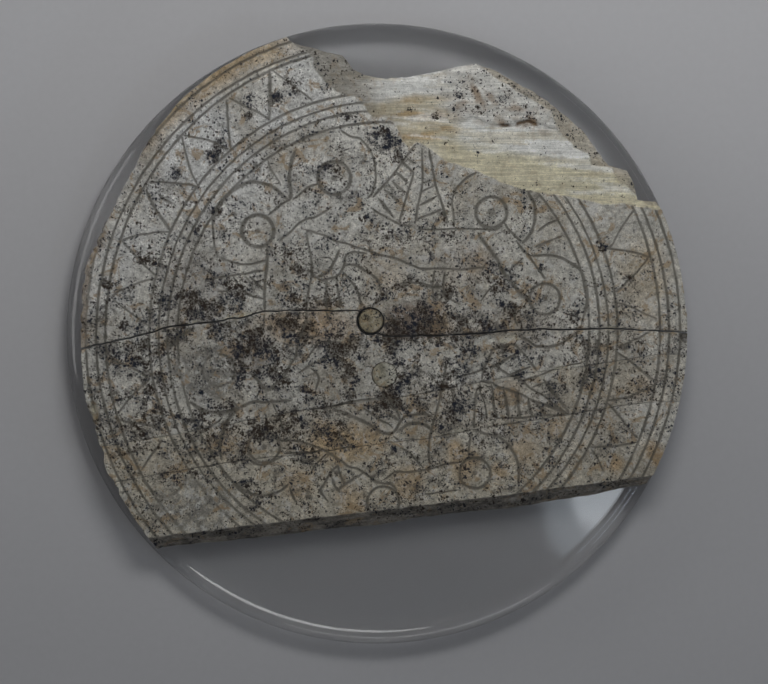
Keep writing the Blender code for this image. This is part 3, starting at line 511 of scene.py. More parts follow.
def speck_density(x, y):
    """How thickly the face is specked, 0 to about 1: most across the middle, least at the top and the right."""
    x, y = x - 1.2, y + 1.4
    d = 0.17 + 0.27 * np.exp(-((y + 2.0) / 13.0)**2) + 0.06 * ramp(-y, 6, 16)
    d = d - 0.17 * ramp(x, 16, 36) - 0.10 * ramp(-x, 37, 46) - 0.06 * ramp(y, 20, 36)
    for cx, cy, ax, ay, k in ((2.5, 2.8, 6.0, 3.6, 0.36), (-22.0, -2.5, 4.0, 4.2, 0.30), (-31.0, 13.0, 5.0, 6.5, 0.20),
                              (-28.0, 5.0, 6.0, 5.0, 0.16), (-7.5, 27.0, 3.5, 4.5, 0.18), (2.5, -9.5, 4.0, 4.0, 0.20),
                              (-25.0, -20.0, 6.0, 6.0, 0.14), (-13.0, -7.5, 4.5, 5.0, 0.14), (13.0, 3.0, 11.0, 6.5, 0.14),
                              (8.0, 17.0, 3.5, 3.0, 0.12), (-17.0, 37.0, 7.0, 5.0, 0.10), (-3.5, 34.0, 4.0, 3.0, 0.12)):
        d = d + k * np.exp(-(((x - cx) / ax)**2 + ((y - cy) / ay)**2))
    return np.clip(d * (0.45 + 1.1 * layered(x * 0.16, y * 0.16, 61, 4, 0.6)), 0, 1)


def lookup(grid, x, y):
    u, v = (x + SPAN) / CELL, (y + SPAN) / CELL
    ix, iy = np.clip(u.astype(int), 0, CELLS - 2), np.clip(v.astype(int), 0, CELLS - 2)
    fx, fy = np.clip(u - ix, 0, 1), np.clip(v - iy, 0, 1)
    return ((grid[iy, ix] * (1 - fx) + grid[iy, ix + 1] * fx) * (1 - fy)
            + (grid[iy + 1, ix] * (1 - fx) + grid[iy + 1, ix + 1] * fx) * fy)


# ---------------------------------------------------------------- the shape and tints of the face

def smooth_edge(points, seed, size=0.12, step=0.25):
    """A broken edge: an even line through the points, with its own small irregularities."""
    p = even(points, step)
    s = np.arange(len(p)) * step
    shift = (layered(s * 0.55, s * 0 + seed, seed, 3, 0.6) - 0.5) * 2 * size
    return p + normals_of(p) * shift[:, None]


face_edge = smooth_edge(FACE_EDGE, 21, 0.28)
pale_edge = smooth_edge(PALE_EDGE, 22, 0.30)
crevice = smooth_edge(CREVICE, 23, 0.22)
top_break = smooth_edge(TOP_BREAK, 24, 0.16)
flaked_area = [*face_edge, (60, 19.5), (60, 60), (-18, 60)]


def mix(a, b, t):
    t = np.asarray(t)[..., None]
    return a * (1 - t) + np.asarray(b, float) * t


def face(x, y):
    """Depth below the face, tint, speckle, groove dirt and grain at each point of the plate."""
    n = len(x)
    r, ang = np.hypot(x, y), np.degrees(np.arctan2(y, x))
    in_flake = inside(flaked_area, x, y)
    d_face = distance_to(face_edge, x, y)
    flake = np.where(in_flake, ramp(d_face, 0.0, 0.22), 0.0)

    # The worn polish of the face: faint swells, dents and pits.
    depth = 0.035 + 0.05 * (layered(x * 0.16, y * 0.16, 1, 3)) + 0.03 * layered(x * 0.9, y * 0.9, 2, 3, 0.6)
    worn = np.zeros(n)
    for (cx, cy), (ax, ay), k in WORN:
        wob = 0.75 + 0.5 * layered(x * 0.35, y * 0.35, 31, 3)
        worn = np.maximum(worn, k * (1 - ramp(np.hypot((x - cx) / ax, (y - cy) / ay) / wob, 0.7, 1.15)))
    crumb = layered(x * 1.5, y * 1.5, 33, 4, 0.65)
    eaten = worn * ramp(crumb, 0.38, 0.50)
    depth += 0.13 * eaten
    cut = lookup(groove_depth, x, y) * (1 - 0.75 * eaten)
    dirt = lookup(groove_fill, x, y) * (1 - 0.6 * eaten)
    depth += cut

    # Tints of the polished face.
    pale = layered(x * 0.10 + 5, y * 0.10, 3, 3)
    tint = np.tile(np.array([0.540, 0.526, 0.476]), (n, 1))
    tint = mix(tint, [0.67, 0.675, 0.665], ramp(-x * 0.55 + y, 12, 46) * 0.9)
    tint = mix(tint, [0.65, 0.63, 0.57], ramp(pale, 0.45, 0.70) * 0.6)
    tint = mix(tint, [0.50, 0.455, 0.355], ramp(-y, 10, 24) * 0.7)
    tint = mix(tint, [0.36, 0.325, 0.26], ramp(layered(x * 0.13, y * 0.13 + 9, 4, 4), 0.5, 0.72) * 0.6)
    strip = inside([*FIRST_LINE, *SECOND_LINE[::-1]], x, y)
    tint = np.where(strip[:, None], mix(tint, [0.40, 0.35, 0.265], np.full(n, 0.35)), tint)
    for cx, cy, cr, k in OCHRE:
        wob = 0.7 + 0.7 * layered(x * 0.5, y * 0.5, 13, 3)
        tint = mix(tint, [0.42, 0.28, 0.13], k * 0.85 * (1 - ramp(np.hypot(x - cx, y - cy) / cr / wob, 0.35, 1.25)))
    for (cx, cy), (ax, ay), colour, k in ((( 4.8, 3.6), (5.2, 3.6), [0.17, 0.12, 0.085], 0.8), ((-22, -1.5), (4.5, 4), [0.22, 0.20, 0.18], 0.6),
                                          ((-30, 9), (6, 8), [0.30, 0.28, 0.26], 0.5), ((-6, -16.5), (7, 3.5), [0.50, 0.36, 0.19], 0.7),
                                          ((-12, 2.5), (10, 3), [0.42, 0.31, 0.20], 0.6), ((42, 10), (5, 7), [0.48, 0.40, 0.28], 0.6),
                                          ((20, 2), (9, 5), [0.30, 0.26, 0.21], 0.5), ((14, 13), (5, 4), [0.36, 0.32, 0.27], 0.5)):
        away = np.hypot((x - 1.2 - cx) / ax, (y + 1.4 - cy) / ay) + 1.3 * (layered(x * 0.3 + cx, y * 0.3, 77, 4, 0.65) - 0.5)
        tint = mix(tint, colour, k * (1 - ramp(away, 0.45, 1.25)))
    # The margin outside the circles: chalky at the left, tan at the upper left.
    margin = ramp(r, 47.2, 48.8)
    tint = mix(tint, [0.68, 0.66, 0.58], margin * ramp(np.abs((ang % 360) - 188), 34, 24) * 0.6)
    tint = mix(tint, [0.44, 0.33, 0.19], ramp(r, 45.5, 49.0) * ramp(np.abs(ang - 124), 26, 10) * 0.8)
    tint = mix(tint, [0.55, 0.54, 0.49], ramp(r, 47.8, 49.6) * ramp(np.abs(ang + 2), 26, 18) * 0.5)
    tint = mix(tint, [0.235, 0.228, 0.205], eaten * 0.85)
    tint = mix(tint, [0.66, 0.655, 0.61], worn * ramp(layered(x * 1.1, y * 1.1, 35, 3, 0.6), 0.60, 0.70) * 0.9)

    speck = speck_density(x, y)
    for cx, cy, cr, k in STAINS:
        wob = 0.6 + 0.8 * layered(x * 0.8 + cx, y * 0.8, 15, 3, 0.6)
        near = 1 - ramp(np.hypot(x - cx, y - cy) / cr / wob, 0.35, 1.35)
        speck = np.maximum(speck, (0.25 + 0.75 * k) * near)
    speck = speck * (1 - 0.85 * eaten)

    # The left margin has a worn slope that shows the browner body below the face.
    out = rim_radius(ang) - r
    slope_zone = ramp(np.abs((ang % 360) - 171), 13, 10)
    bevel = (1 - ramp(out, 0.0, 1.5)) * slope_zone
    depth += 1.25 * bevel
    tint = mix(tint, [0.285, 0.240, 0.190], ramp(bevel, 0.05, 0.5) * 0.85)
    notch = ramp(np.abs((ang % 360) - 196.3), 3.2, 1.6) * (1 - ramp(out, 0.7, 1.7))
    depth += 0.8 * notch
    tint = mix(tint, [0.27, 0.245, 0.20], notch * 0.9)
    dirt *= (1 - bevel) * (1 - notch)

    # Chips.
    for (cx, cy), (ax, ay), turn, deep, bright in CHIPS:
        c, s = math.cos(math.radians(turn)), math.sin(math.radians(turn))
        u, v = ((x - cx) * c + (y - cy) * s) / ax, (-(x - cx) * s + (y - cy) * c) / ay
        d = np.hypot(u, v) + 0.3 * (noise(x * 1.6, y * 1.6, 17) - 0.5)
        k = 1 - ramp(d, 0.55, 1.0)
        ripple = 0.12 * np.sin(d * 16)
        depth += deep * k * (0.9 + ripple)
        colour = [0.66, 0.66, 0.61] if bright > 0.8 else ([0.56, 0.53, 0.43] if bright > 0.2 else [0.10, 0.09, 0.08])
        tint = mix(tint, colour, k * 0.85)
        speck, dirt = speck * (1 - 0.8 * k), dirt * (1 - 0.8 * k)

    # Where the top layer has come away: a clean step, then a bed of thin, nearly level laminations.
    if in_flake.any():
        f = in_flake
        fx, fy = x[f], y[f]
        df = d_face[f]
        do = distance_to(top_break, fx, fy)
        share = df / (df + do + 1e-6)
        left = 1 - ramp(fx + 0.25 * (fy - 36), -3.0, 4.5)
        grain = layered(fx * 0.10, fy * 1.05 + 0.05 * fx, 51, 4, 0.62)
        fine = noise(fx * 0.22, fy * 2.6 + 0.15 * fx, 53)
        bed = 0.42 + 0.75 * ramp(df, 0.2, 9.0)
        below = fy < np.interp(fx, crevice[:, 0], crevice[:, 1], left=60, right=60)
        upper = ramp(fx + 5 * (layered(fx * 0.25, fy * 0.25, 71, 3) - 0.5), 8.0, 14.0) * ramp(distance_to(crevice, fx, fy), 0.0, 0.5) * (~below)
        d_crev = distance_to(crevice, fx, fy)
        rough = layered(fx * 0.8, fy * 0.8, 55, 4, 0.62)
        bed = bed * (1 - upper) + upper * (0.72 + 0.50 * (rough - 0.5) + 0.25 * ramp(do, 3.0, 0.0))
        low = 0.95 + 0.15 * ramp(d_crev, 4, 0)
        bed = np.where(below & (fx > 9), np.minimum(bed, low), bed)
        gash = ramp(np.abs(fx - 23.5), 5.5, 3.0) * ramp(noise(fx * 0.9, fy * 0.4, 60), 0.30, 0.55)
        bed = bed + 0.22 * ramp(d_crev, 0.55, 0.1) * gash
        # thin terraces
        steps = 0.16
        t = (bed + 0.30 * (grain - 0.5) + 0.10 * (rough - 0.5)) / steps
        whole = np.floor(t)
        bed = steps * (whole + ramp(t - whole, 0.55, 1.0)) * 0.55 + 0.45 * steps * t
        bed += 0.055 * (fine - 0.5) * ramp(df, 0.3, 1.2) + 0.03 * (noise(fx * 3, fy * 3, 57) - 0.5)
        # conchoidal slope at the left, from the face down to the outer edge
        shell = 0.15 + 2.5 * share**1.15 + 0.16 * np.sin(share * 19 + 2.0 * layered(fx * 0.2, fy * 0.2, 58, 2)) * share
        shell += 0.22 * (rough - 0.5)
        bed = bed * (1 - left) + shell * left
        # the lower, browner step outside the pale layer, and the crumbled outer edge
        px = distance_to(pale_edge, fx, fy)
        side = inside([*pale_edge, (60, 20), (60, 60), (17, 60)], fx, fy)
        step_down = np.where(side, ramp(px, 0.0, 0.35), 0.0) * (1 - left)
        bed += 0.75 * step_down + 0.25 * step_down * (rough - 0.5)
        bed += (0.5 * (1 - ramp(do, 0.0, 1.1))) * (1 - left)
        bed = np.clip(bed, 0.12, 2.95)
        edge = flake[f]
        depth[f] = depth[f] * (1 - edge) + bed * edge

        col = np.tile(np.array([0.875, 0.882, 0.845]), (f.sum(), 1))
        cream = 1 - ramp(np.hypot((fx - 5.0) / 9.5, (fy - 34.0) / 4.6) + 0.5 * (layered(fx * 0.2, fy * 0.5, 81, 3) - 0.5), 0.65, 1.1)
        col = mix(col, [0.58, 0.51, 0.355], cream * 0.85)
        col = mix(col, [0.74, 0.69, 0.49], ramp(fy - np.interp(fx, [6, 46], [27, 20]) + 3 * (layered(fx * 0.12, fy * 0.3, 79, 3) - 0.5), 7.0, 4.0)
                  * ramp(fx, 6, 12) * 0.9)
        col = mix(col, [0.50, 0.36, 0.19], ramp(layered(fx * 0.16, fy * 0.9, 59, 3), 0.5, 0.66)
                  * ramp(np.abs(fx - 7.5), 7.5, 3.0) * ramp(np.abs(fy - 34.5), 5.5, 2.5) * 0.8)
        col = mix(col, [0.58, 0.545, 0.49], upper * (0.40 + 0.45 * ramp(rough, 0.45, 0.6)) * 0.85)
        col = mix(col, [0.94, 0.94, 0.91], ramp(grain, 0.55, 0.68) * (1 - upper) * 0.6)
        col = mix(col, [0.66, 0.60, 0.44], ramp(grain, 0.47, 0.36) * (1 - upper) * 0.5)
        col = mix(col, [0.215, 0.196, 0.160], left * (0.80 + 0.2 * (rough - 0.5)))
        col = mix(col, [0.50, 0.455, 0.37], step_down * 0.85)
        rust = ramp(layered(fx * 0.55, fy * 1.1, 73, 4, 0.65), 0.47, 0.60)
        col = mix(col, [0.30, 0.20, 0.115], rust * gash * ramp(d_crev, 1.3, 0.2) * 0.9)
        # a dark brown line along the crevice: partly stain, partly painted shade of the step's undercut
        col = mix(col, [0.13, 0.085, 0.05], ramp(d_crev, 0.45, 0.12) * np.maximum(gash, 0.22 * (fx > 12.5)) * 0.95)
        for cx, cy, ax, ay, turn, k in ((15.2, 40.2, 2.4, 0.7, -62, 0.75), (17.6, 39.6, 1.6, 0.5, -50, 0.6),
                                        (21.6, 37.9, 1.9, 0.6, -8, 0.7), (12.6, 38.6, 1.2, 0.6, 30, 0.5),
                                        (9.0, 37.2, 1.4, 0.9, 0, 0.4), (26.0, 34.2, 1.3, 0.6, -20, 0.4)):
            c, q = math.cos(math.radians(turn)), math.sin(math.radians(turn))
            px, py = fx - 1.2 - cx, fy + 1.4 - cy
            u, v = (px * c + py * q) / ax, (-px * q + py * c) / ay
            away = np.hypot(u, v) + 0.9 * (layered(fx * 1.3, fy * 1.3, 75, 3) - 0.5)
            col = mix(col, [0.31, 0.225, 0.15], (1 - ramp(away, 0.5, 1.2)) * k)
        tint[f] = mix(tint[f], 0, edge) + col * edge[:, None]
        flake_speck = 0.10 * left + 0.11 * upper + 0.11 * step_down + 0.06 * ramp(rough, 0.5, 0.7)
        for cx, cy, cr in ((9.6, 35.4, 0.9), (13.5, 38.6, 1.1), (16.5, 36.8, 1.3), (20.5, 38.0, 0.8), (5.5, 36.5, 0.9),
                           (24.5, 37.0, 0.9), (3.5, 39.5, 0.8), (19.0, 31.5, 0.6), (11.5, 31.0, 0.7)):
            flake_speck = np.maximum(flake_speck, 0.55 - 0.55 * ramp(np.hypot(fx - cx, (fy - cy) * 1.4) / cr, 0.3, 1.3))
        speck[f] = speck[f] * (1 - edge) + flake_speck * edge
        dirt[f] *= 1 - edge
    lip = (1 - ramp(d_face, 0.0, 0.35)) * (~in_flake)
    tint = mix(tint, [0.62, 0.61, 0.55], lip * 0.35)
    grainy = flake * 1.0
    return depth, tint, np.clip(speck, 0, 1), np.clip(dirt, 0, 1), grainy


# ---------------------------------------------------------------- meshes

def make_object(name, verts, faces, attributes, sharp=38):
    mesh = bpy.data.meshes.new(name)
    mesh.from_pydata((np.asarray(verts) * 0.001).tolist(), [], faces)
    mesh.validate()
    for key, values in attributes.items():
        values = np.asarray(values, np.float32)
        if values.ndim == 2:
            layer = mesh.attributes.new(key, "FLOAT_COLOR", "POINT")
            layer.data.foreach_set("color", np.concatenate([values, np.ones((len(values), 1), np.float32)], 1).ravel())
        else:
            layer = mesh.attributes.new(key, "FLOAT", "POINT")
            layer.data.foreach_set("value", values)
    mesh.polygons.foreach_set("use_smooth", np.ones(len(mesh.polygons), bool))
    mesh.set_sharp_from_angle(angle=math.radians(sharp))
    ob = bpy.data.objects.new(name, mesh)
    bpy.context.scene.collection.objects.link(ob)
    return ob


def loops_of(faces):
    """The closed runs of vertices round the border of a set of triangles, each with the face on its left."""
    edges = set()
    for a, b, c in faces:
        edges.update(((a, b), (b, c), (c, a)))
    follow = {}
    for a, b in edges:
        if (b, a) not in edges:
            follow.setdefault(a, []).append(b)
    loops = []
    while follow:
        start = next(iter(follow))
        loop, at = [start], start
        while True:
            nxt = follow[at].pop()
            if not follow[at]:
                del follow[at]
            if nxt == start or nxt not in follow:
                break
            loop.append(nxt)
            at = nxt
        loops.append(loop)
    return [l for l in loops if len(l) > 8]


def thin_out(points, size):
    """At most one point in each small cell."""
    key = np.round(points / size).astype(np.int64)
    _, first = np.unique(key[:, 0] * 1000003 + key[:, 1], return_index=True)
    return points[np.sort(first)]


def spaced_grid(box, step, seed):
    x0, y0, x1, y1 = box
    nx, ny = int((x1 - x0) / step) + 1, int((y1 - y0) / (step * 0.87)) + 1
    g = np.random.default_rng(seed)
    gx, gy = np.meshgrid(np.arange(nx), np.arange(ny))
    px = x0 + (gx + 0.5 * (gy % 2)) * step
    py = y0 + gy * step * 0.87
    jitter = g.uniform(-0.28, 0.28, (2, *px.shape)) * step
    return np.stack([(px + jitter[0]).ravel(), (py + jitter[1]).ravel()], 1)


def near_filter(points, others, gap):
    """The points that keep a gap from the others."""
    tree = kdtree.KDTree(len(others))
    for i, (a, b) in enumerate(others):
        tree.insert((a, b, 0), i)
    tree.balance()
    keep = [tree.find((a, b, 0))[2] > gap for a, b in points]
    return points[np.array(keep, bool)] if len(points) else points


def fragment(name, outline, holes, foot_of, seed, rough_wall):
    """One fragment: the face with all its cuts, rough broken sides and a level underside."""
    outline = thin_ring(outline)
    box = (*outline.min(0), *outline.max(0))
    ring_holes = []
    for (cx, cy), r in holes:
        t = np.linspace(0, math.tau, 72, endpoint=False)
        wob = r + 0.05 * (noise(t * 3, t * 0 + cx, 71) - 0.5)
        ring_holes.append(np.stack([cx + wob * np.cos(t), cy + wob * np.sin(t)], 1))
    border = np.concatenate([outline, *ring_holes]) if ring_holes else outline

    side = normals_of(outline, closed=True)
    insets = [outline + side * k for k in (0.10, 0.24)]
    for ring, ((cx, cy), r) in zip(ring_holes, holes):
        insets += [np.array((cx, cy)) + (ring - (cx, cy)) * (1 + k / r) for k in (0.10, 0.25)]
    insets = np.concatenate(insets)
    edge_rows = np.concatenate([face_edge + normals_of(face_edge) * k for k in (-0.16, 0.0, 0.12, 0.28)]
                               + [pale_edge + normals_of(pale_edge) * k for k in (-0.12, 0.08, 0.3)]
                               + [crevice + normals_of(crevice) * k for k in (-0.4, -0.15, 0.1, 0.35)])

    def usable(p, gap):
        p = p[(p[:, 0] > box[0]) & (p[:, 0] < box[2]) & (p[:, 1] > box[1]) & (p[:, 1] < box[3])]
        if not len(p):
            return p
        p = p[inside(outline, p[:, 0], p[:, 1])]
        for (cx, cy), r in holes:
            p = p[np.hypot(p[:, 0] - cx, p[:, 1] - cy) > r + 0.06]
        return near_filter(p, border_dense, gap) if len(p) else p

    closed = np.concatenate([outline, outline[:1]])
    border_dense = np.concatenate([even(closed, 0.07), *[even(np.concatenate([h, h[:1]]), 0.07) for h in ring_holes]])
    fixed = usable(insets, 0.075)
    cuts = np.concatenate(cut_points + [edge_rows])
    in_flake = inside(flaked_area, cuts[:, 0], cuts[:, 1]) & (distance_to(face_edge, cuts[:, 0], cuts[:, 1]) > 0.3)
    is_edge = np.arange(len(cuts)) >= len(cuts) - len(edge_rows)
    cuts = usable(thin_out(cuts[~in_flake | is_edge], 0.055), 0.13)
    ground = spaced_grid(box, 0.56, seed)
    fine = spaced_grid((box[0], box[1] * 2, box[2], box[3] * 2), 0.42, seed + 1) * [1, 0.5]
    fx, fy = fine[:, 0], fine[:, 1]
    dense = inside(flaked_area, fx, fy)
    for (cx, cy), (ax, ay), k in WORN:
        dense |= np.hypot((fx - cx) / ax, (fy - cy) / ay) < 1.2
    for (cx, cy), (ax, ay), turn, deep, bright in CHIPS:
        dense |= np.hypot((fx - cx) / (ax + 0.3), (fy - cy) / (ay + 0.3)) < 1.3
    a = np.degrees(np.arctan2(fy, fx)) % 360
    dense |= (np.abs(a - 180) < 22) & (np.hypot(fx, fy) > 45.5)
    ground = usable(np.concatenate([ground, fine[dense]]), 0.2)
    ground = near_filter(ground, np.concatenate([cuts, fixed]), 0.17) if len(cuts) else ground
    ground = thin_out(ground, 0.2)
    inner = np.concatenate([fixed, cuts, ground])
    inner = thin_out(inner, 0.04)

    coords = np.concatenate([border, inner])
    edges, start = [], 0
    for ring in [outline, *ring_holes]:
        n = len(ring)
        edges += [(start + i, start + (i + 1) % n) for i in range(n)]
        start += n
    out = delaunay_2d_cdt([Vector(p) for p in coords.tolist()], edges, [], 0, 1e-5, False)
    xy = np.array([tuple(v) for v in out[0]])
    tris = np.array(out[2], int)
    mid = xy[tris].mean(1)
    keep = inside(outline, mid[:, 0], mid[:, 1])
    for (cx, cy), r in holes:
        ring = ring_holes[[h[0] for h in holes].index((cx, cy))]
        keep &= ~inside(ring, mid[:, 0], mid[:, 1])
    tris = tris[keep]
    a, b, c = xy[tris[:, 0]], xy[tris[:, 1]], xy[tris[:, 2]]
    area = (b[:, 0] - a[:, 0]) * (c[:, 1] - a[:, 1]) - (b[:, 1] - a[:, 1]) * (c[:, 0] - a[:, 0])
    tris = tris[np.abs(area) > 1e-7]
    area = area[np.abs(area) > 1e-7]
    tris[area < 0] = tris[area < 0][:, ::-1]
    used = np.unique(tris)
    remap = np.full(len(xy), -1)
    remap[used] = np.arange(len(used))
    xy, tris = xy[used], remap[tris]

    depth, tint, speck, dirt, grain = face(xy[:, 0], xy[:, 1])
    loops = loops_of(tris.tolist())
    on_border = np.zeros(len(xy), bool)
    for loop in loops:
        on_border[loop] = True
    # The arris is worn: it drops a little at the very edge, more where it has chipped.
    gap = edge_distance(xy, border_dense)
    arris = 1 - ramp(gap, 0.0, 0.24)
    chip = ramp(layered(xy[:, 0] * 0.7, xy[:, 1] * 0.7, 81, 3), 0.5, 0.75)
    depth = depth + arris * (0.05 + 0.16 * chip)
    top_z = PLATE_TOP - np.clip(depth, 0.004, PLATE_TOP - PLATE_FOOT - 0.25)

    verts = [np.column_stack([xy, top_z])]
    # the 'side' values mark the walls and the chipped arris; the material darkens them as painted shade
    tints, specks, dirts, grains, walls = [tint], [speck], [dirt], [grain], [arris * 0.25 * chip]
    faces = tris.tolist()
    count = len(xy)
    foot_loops = []
    for loop in loops:
        p, z = xy[loop], top_z[loop]
        n = len(loop)
        outward = -normals_of(p, closed=True)
        s = np.concatenate([[0], np.cumsum(np.hypot(*(np.roll(p, -1, 0) - p).T))])[:-1]
        foot = np.array([foot_of(*q) for q in p])
        levels = 9
        above = np.array(loop)
        for k in range(1, levels + 1):
            t = k / levels
            zz = z + (PLATE_FOOT - z) * t
            # layers of the material show as ledges along the break
            ledge = layered(s * 0.28, zz * 2.4 + seed, 91, 4, 0.6) * 0.7 + 0.3 * noise(s * 2.2, zz * 5.0, 92)
            bite = rough_wall * (0.15 + ledge) * (1 - 0.6 * (k == levels)) * ramp(t, 0, 0.18)
            run = np.hypot(foot[:, 0], foot[:, 1]) > 0.2
            bite = np.where(run, 0.55 * (ledge - 0.35), bite)
            q = p + foot * t**0.92 - outward * bite[:, None]
            if k == levels:
                q = p + foot - outward * np.where(run, 0.02, bite)[:, None]
            rr = np.hypot(q[:, 0], q[:, 1])
            q *= np.minimum(1, (PLATE_R - 0.01) / rr)[:, None]
            verts.append(np.column_stack([q, zz]))
            shade = layered(s * 0.5, zz * 1.6, 93, 4, 0.6)
            col = np.tile(np.array([0.30, 0.275, 0.235]), (n, 1))
            col = mix(col, [0.17, 0.155, 0.135], ramp(shade, 0.42, 0.62))
            col = mix(col, [0.40, 0.375, 0.33], ramp(ledge, 0.58, 0.74) * 0.8)
            tints.append(col)
            specks.append(np.full(n, 0.45) + 0.3 * (shade - 0.5))
            dirts.append(np.zeros(n))
            grains.append(np.full(n, 0.35))
            walls.append(np.full(n, 1.0))
            below = count + np.arange(n)
            for i in range(n):
                j = (i + 1) % n
                faces.append((int(above[i]), int(below[i]), int(below[j]), int(above[j])))
            above = below
            count += n
        foot_loops.append(above)
    allv = np.concatenate(verts)
    # The underside.
    start = len(allv)
    coords, edges, index = [], [], []
    for loop in foot_loops:
        base = len(coords)
        coords += [Vector((float(allv[i, 0]), float(allv[i, 1]))) for i in loop]
        index += list(loop)
        edges += [(base + i, base + (i + 1) % len(loop)) for i in range(len(loop))]
    out = delaunay_2d_cdt(coords, edges, [], 0, 1e-6, True)
    flat = np.array([tuple(v) for v in out[0]])
    ids = []
    extra = []
    for i, source in enumerate(out[3]):
        if source:
            ids.append(int(index[source[0]]))
        else:
            ids.append(start + len(extra))
            extra.append((flat[i, 0], flat[i, 1], PLATE_FOOT))
    under = np.array(out[2], int)
    mid = flat[under].mean(1)
    keep = inside(allv[foot_loops_order(foot_loops, allv)][:, :2], mid[:, 0], mid[:, 1])
    for (cx, cy), r in holes:
        keep &= np.hypot(mid[:, 0] - cx, mid[:, 1] - cy) > r * 0.93
    for tri in under[keep]:
        a, b, c = flat[tri]
        if (b[0] - a[0]) * (c[1] - a[1]) - (b[1] - a[1]) * (c[0] - a[0]) > 0:
            tri = tri[::-1]
        faces.append(tuple(ids[k] for k in tri))
    if extra:
        allv = np.concatenate([allv, np.array(extra)])
        k = len(extra)
        tints.append(np.tile([0.3, 0.28, 0.24], (k, 1)))
        for group in (specks, dirts, grains, walls):
            group.append(np.full(k, 0.4))
    return make_object(name, allv, faces, {
        "tint": np.concatenate(tints), "speck": np.concatenate(specks), "dirt": np.concatenate(dirts),
        "grain": np.concatenate(grains), "side": np.concatenate(walls)})


def foot_loops_order(loops, verts):
    """The longest loop, which is the outer one."""
    return max(loops, key=lambda l: np.ptp(verts[l][:, 0]) + np.ptp(verts[l][:, 1]))


def edge_distance(xy, border):
    tree = kdtree.KDTree(len(border))
    for i, (a, b) in enumerate(border):
        tree.insert((a, b, 0), i)
    tree.balance()
    return np.array([tree.find((a, b, 0))[2] for a, b in xy])


def thin_ring(points):
    """A closed outline with its points well apart."""
    out = [points[0]]
    for p in points[1:]:
        if math.dist(p, out[-1]) > 0.12:
            out.append(p)
    while math.dist(out[0], out[-1]) < 0.12:
        out.pop()
    return np.array(out, float)


def crack(line, half, seed):
    """The two lips of a crack, which match each other, with a gap that opens and closes a little."""
    p = even(line, 0.26)
    s = np.arange(len(p)) * 0.26
    wander = (layered(s * 0.45, s * 0 + seed, seed, 4, 0.62) - 0.5) * 0.42
    p = p + normals_of(p) * wander[:, None]
    gap = half * (0.75 + 0.5 * layered(s * 0.12, s * 0 + 5, seed + 1, 2))
    return p + [0, 1] * gap[:, None], p - [0, 1] * gap[:, None]


def within_rim(line):
    """The part of a crossing line inside the rim, ended on it."""
    p = even(line, 0.26)
    r, rim = np.hypot(p[:, 0], p[:, 1]), rim_radius(np.degrees(np.arctan2(p[:, 1], p[:, 0])))
    keep = np.flatnonzero(r < rim)
    i, j = keep[0], keep[-1]

    def on_rim(a, b):
        for _ in range(24):
            m = (a + b) / 2
            if np.hypot(*m) < rim_radius(polar(m)):
                a = m
            else:
                b = m
        return a
    return np.concatenate([[on_rim(p[i], p[i - 1])], p[i + 1:j], [on_rim(p[j], p[j + 1])]])


def rim_run(start, end, step=0.3):
    """Points on the rim between two angles, anticlockwise."""
    while end < start:
        end += 360
    n = max(1, round(math.radians(end - start) * 50 / step))
    t = np.linspace(start, end, n + 1)[1:-1]
    r = rim_radius(t)
    return np.stack([r * np.cos(np.radians(t)), r * np.sin(np.radians(t))], 1)


def build_plate():
    open_up, open_down = (within_rim(l) for l in crack(OPEN_LINE, 0.13, 301))
    first_up, first_down = (within_rim(l) for l in crack(FIRST_LINE, 0.032, 311))
    second_up, second_down = (within_rim(l) for l in crack(SECOND_LINE, 0.040, 321))
    foot_line = within_rim(smooth_edge(BREAK_LINE, 331, 0.10))
    upper = [*open_up, *rim_run(polar(open_up[-1]), polar(top_break[0])), *top_break,
             *rim_run(polar(top_break[-1]), polar(open_up[0]) % 360)]
    middle = [*first_up, *rim_run(polar(first_up[-1]), polar(open_down[-1])), *open_down[::-1],
              *rim_run(polar(open_down[0]) % 360, polar(first_up[0]) % 360)]
    narrow = [*second_up, *rim_run(polar(second_up[-1]), polar(first_down[-1])), *first_down[::-1],
              *rim_run(polar(first_down[0]) % 360, polar(second_up[0]) % 360)]
    lower = [*foot_line, *rim_run(polar(foot_line[-1]), polar(second_down[-1])), *second_down[::-1],
             *rim_run(polar(second_down[0]) % 360, polar(foot_line[0]) % 360)]

    def upright(x, y):
        return (0.0, 0.0)

    ends = foot_line[0], foot_line[-1]

    def sloping(x, y):
        if y > np.interp(x, foot_line[:, 0], foot_line[:, 1]) + 0.03:
            return (0.0, 0.0)
        run = BREAK_RUN * float(0.92 + 0.22 * noise(x * 0.13, 2.0, 95))
        run *= 1 - 0.34 * float(ramp(x, 31, 42))
        dx = 1.45 * max(0.0, 1 - math.dist((x, y), ends[0]) / 2.2) - 1.0 * max(0.0, 1 - math.dist((x, y), ends[1]) / 2.2)
        return (dx, -run)

    return [
        ("upper_fragment", upper, [(HOLE, HOLE_R)], upright, 501, 0.10, "upper_part", "upper_fragment"),
        ("middle_fragment", middle, [(HOLE, HOLE_R), (SECOND_HOLE, SECOND_HOLE_R)], upright, 511, 0.10, "lower_plate",
         "middle_fragment"),
        ("strip_fragment", narrow, [], upright, 521, 0.05, "lower_plate", "strip_fragment"),
        ("lower_fragment", lower, [], sloping, 531, 0.06, "lower_plate", "lower_fragment"),
    ]


